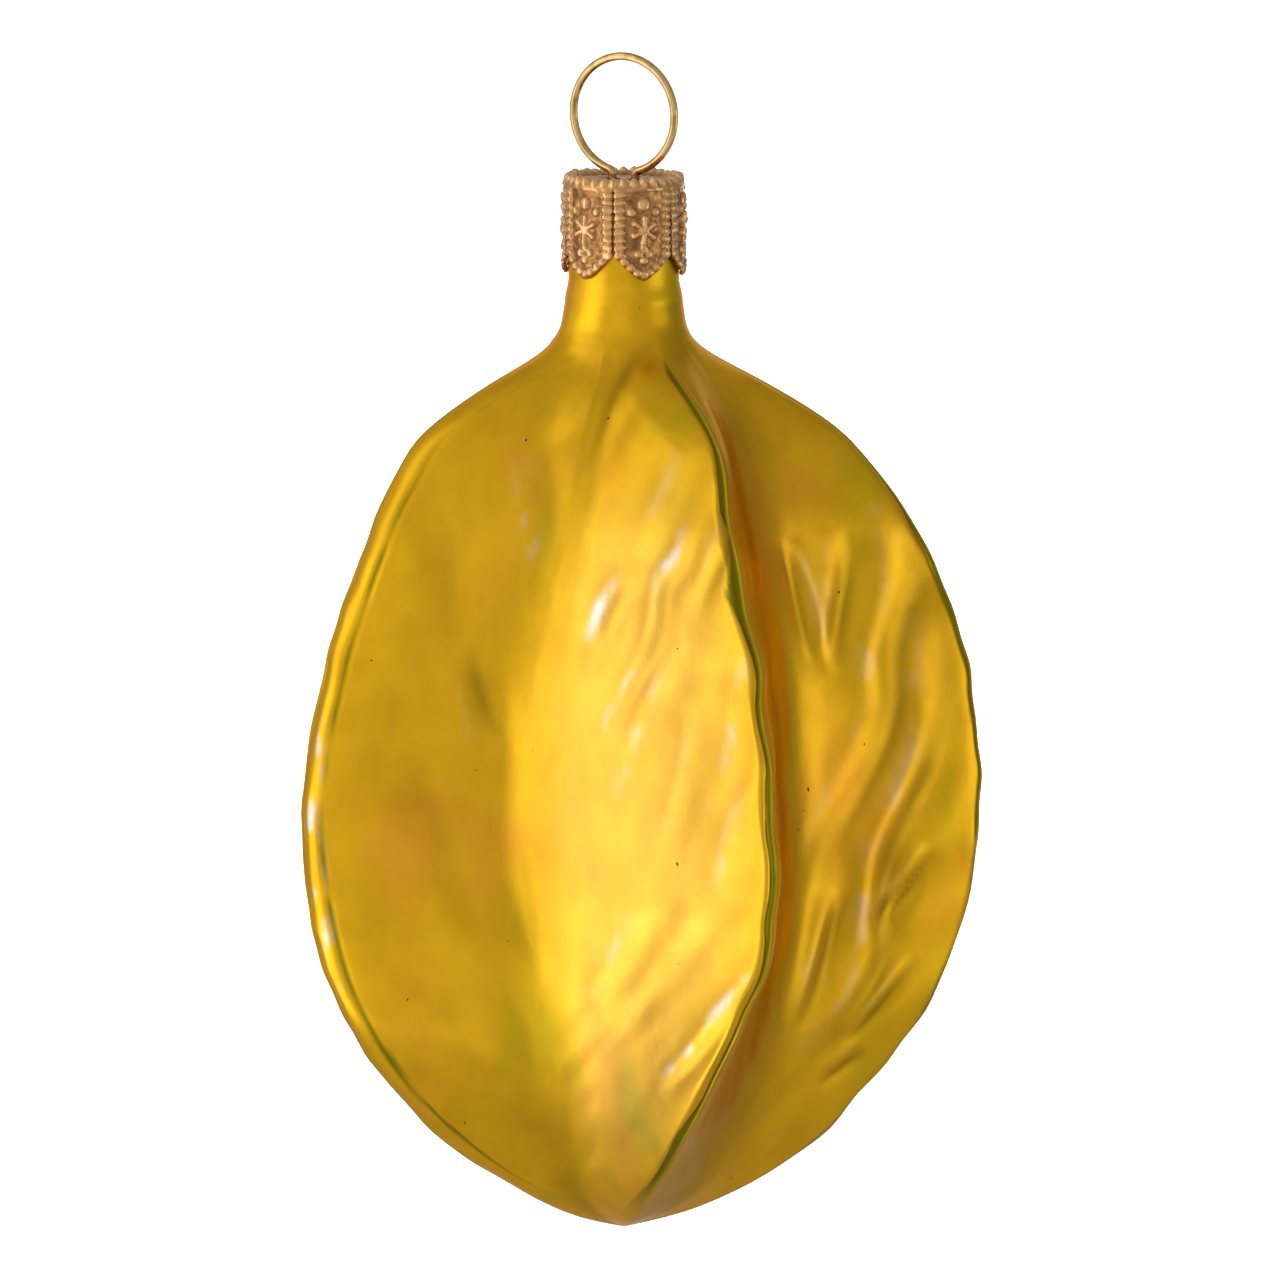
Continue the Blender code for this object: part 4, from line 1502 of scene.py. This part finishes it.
@dataclass
class Studio:
    """Pale floor, soft light and the camera.

    Lengths are in metres.  air is the strength of the light from all round: the part that is the
    same everywhere, and how it changes towards +X, +Y and +Z.
    """

    elevation: float = 9.0
    distance: float = 1.0
    middle: tuple[float, float, float] = (0.00142, 0.0, -0.0515)
    width_seen: float = 0.11327
    floor_drop: float = 0.32
    floor_size: float = 14.0
    air: tuple[float, float, float, float] = (0.49, -0.11, -0.14, -0.06)
    softboxes: tuple[Softbox, ...] = (
        Softbox("key_inner", -64, -8, 0.75, 0.42, 0.80, 0.72),
        Softbox("key_outer", -66, -4, 0.78, 0.82, 1.2, 1.38),
        Softbox("key_low", -66, -33, 0.58, 0.50, 0.26, 0.50),
        Softbox("key_high", -71, 48, 0.75, 0.38, 0.34, 0.27),
        Softbox("rim_left", -110, 5, 0.80, 0.30, 0.6, 0.10),
        Softbox("fill_right", 72, -6, 0.90, 0.55, 0.40, 0.66),
        Softbox("fill_right_low", 70, -24, 0.62, 0.45, 0.20, 0.06),
        Softbox("fill_front", -5, -2, 1.30, 0.85, 0.90, 0.48),
        Softbox("fill_low", -10, -32, 0.60, 0.60, 0.30, 0.25),
        Softbox("back_panel", 180, 8, 1.20, 1.60, 1.10, 2.2),
        Softbox("floor_wash", 180, 90, 1.3, 1.8, 3.5, 45.0, 60, (0.0, 2.85, -0.42)),
    )

    def build(self) -> None:
        """Set the floor, the lights, the world and the camera."""
        scene = bpy.context.scene
        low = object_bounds()[0]
        under = (0.0, 0.0, low[2] - self.floor_drop)
        bpy.ops.mesh.primitive_plane_add(size=self.floor_size, location=under)
        floor = bpy.context.object
        floor.name = "floor"
        floor.data.materials.append(PaleFloor().make())
        floor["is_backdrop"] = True
        for softbox in self.softboxes:
            softbox.build()
        scene.world = self.surroundings()
        scene.view_settings.view_transform = "Standard"
        scene.camera = self.camera()

    def camera(self) -> bpy.types.Object:
        """Place the camera in front, a little above the ornament's middle.

        Returns:
            The camera.
        """
        data = bpy.data.cameras.new("camera")
        data.sensor_width = 36.0
        data.lens = data.sensor_width * self.distance / self.width_seen
        data.clip_end = 20.0
        camera = bpy.data.objects.new("camera", data)
        bpy.context.scene.collection.objects.link(camera)
        rise = math.radians(self.elevation)
        away = Vector((0.0, -math.cos(rise), math.sin(rise)))
        camera.location = Vector(self.middle) + self.distance * away
        camera.rotation_euler = (-away).to_track_quat("-Z", "Y").to_euler()
        return camera

    def surroundings(self) -> bpy.types.World:
        """Soft grey all round, brighter in front, on the left and below.

        Formula: strength = a + b x + c y + d z, where (x, y, z) is the direction looked in.

        Returns:
            The world.
        """
        world = bpy.data.worlds.new("studio")
        world.use_nodes = True
        tree = world.node_tree
        base, *slope = self.air
        coordinates = tree.nodes.new("ShaderNodeTexCoord")
        dot = tree.nodes.new("ShaderNodeVectorMath")
        dot.operation = "DOT_PRODUCT"
        dot.inputs[1].default_value = slope
        total = tree.nodes.new("ShaderNodeMath")
        total.operation = "ADD"
        total.inputs[1].default_value = base
        tree.links.new(coordinates.outputs["Generated"], dot.inputs[0])
        tree.links.new(dot.outputs["Value"], total.inputs[0])
        tree.nodes["Background"].inputs["Color"].default_value = (1, 1, 1, 1)
        tree.links.new(total.outputs["Value"], tree.nodes["Background"].inputs["Strength"])
        return world


def main() -> None:
    """Build every piece in order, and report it."""
    logging.basicConfig(level=logging.INFO, format="%(name)s: %(message)s")
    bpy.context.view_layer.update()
    for maker in (StarFruit(), CrownCap(), HangerWire()):
        piece = maker.build()
        LOG.info("%s: %d faces", piece.name, len(piece.data.polygons))
    Studio().build()


if __name__ == "__main__":
    main()
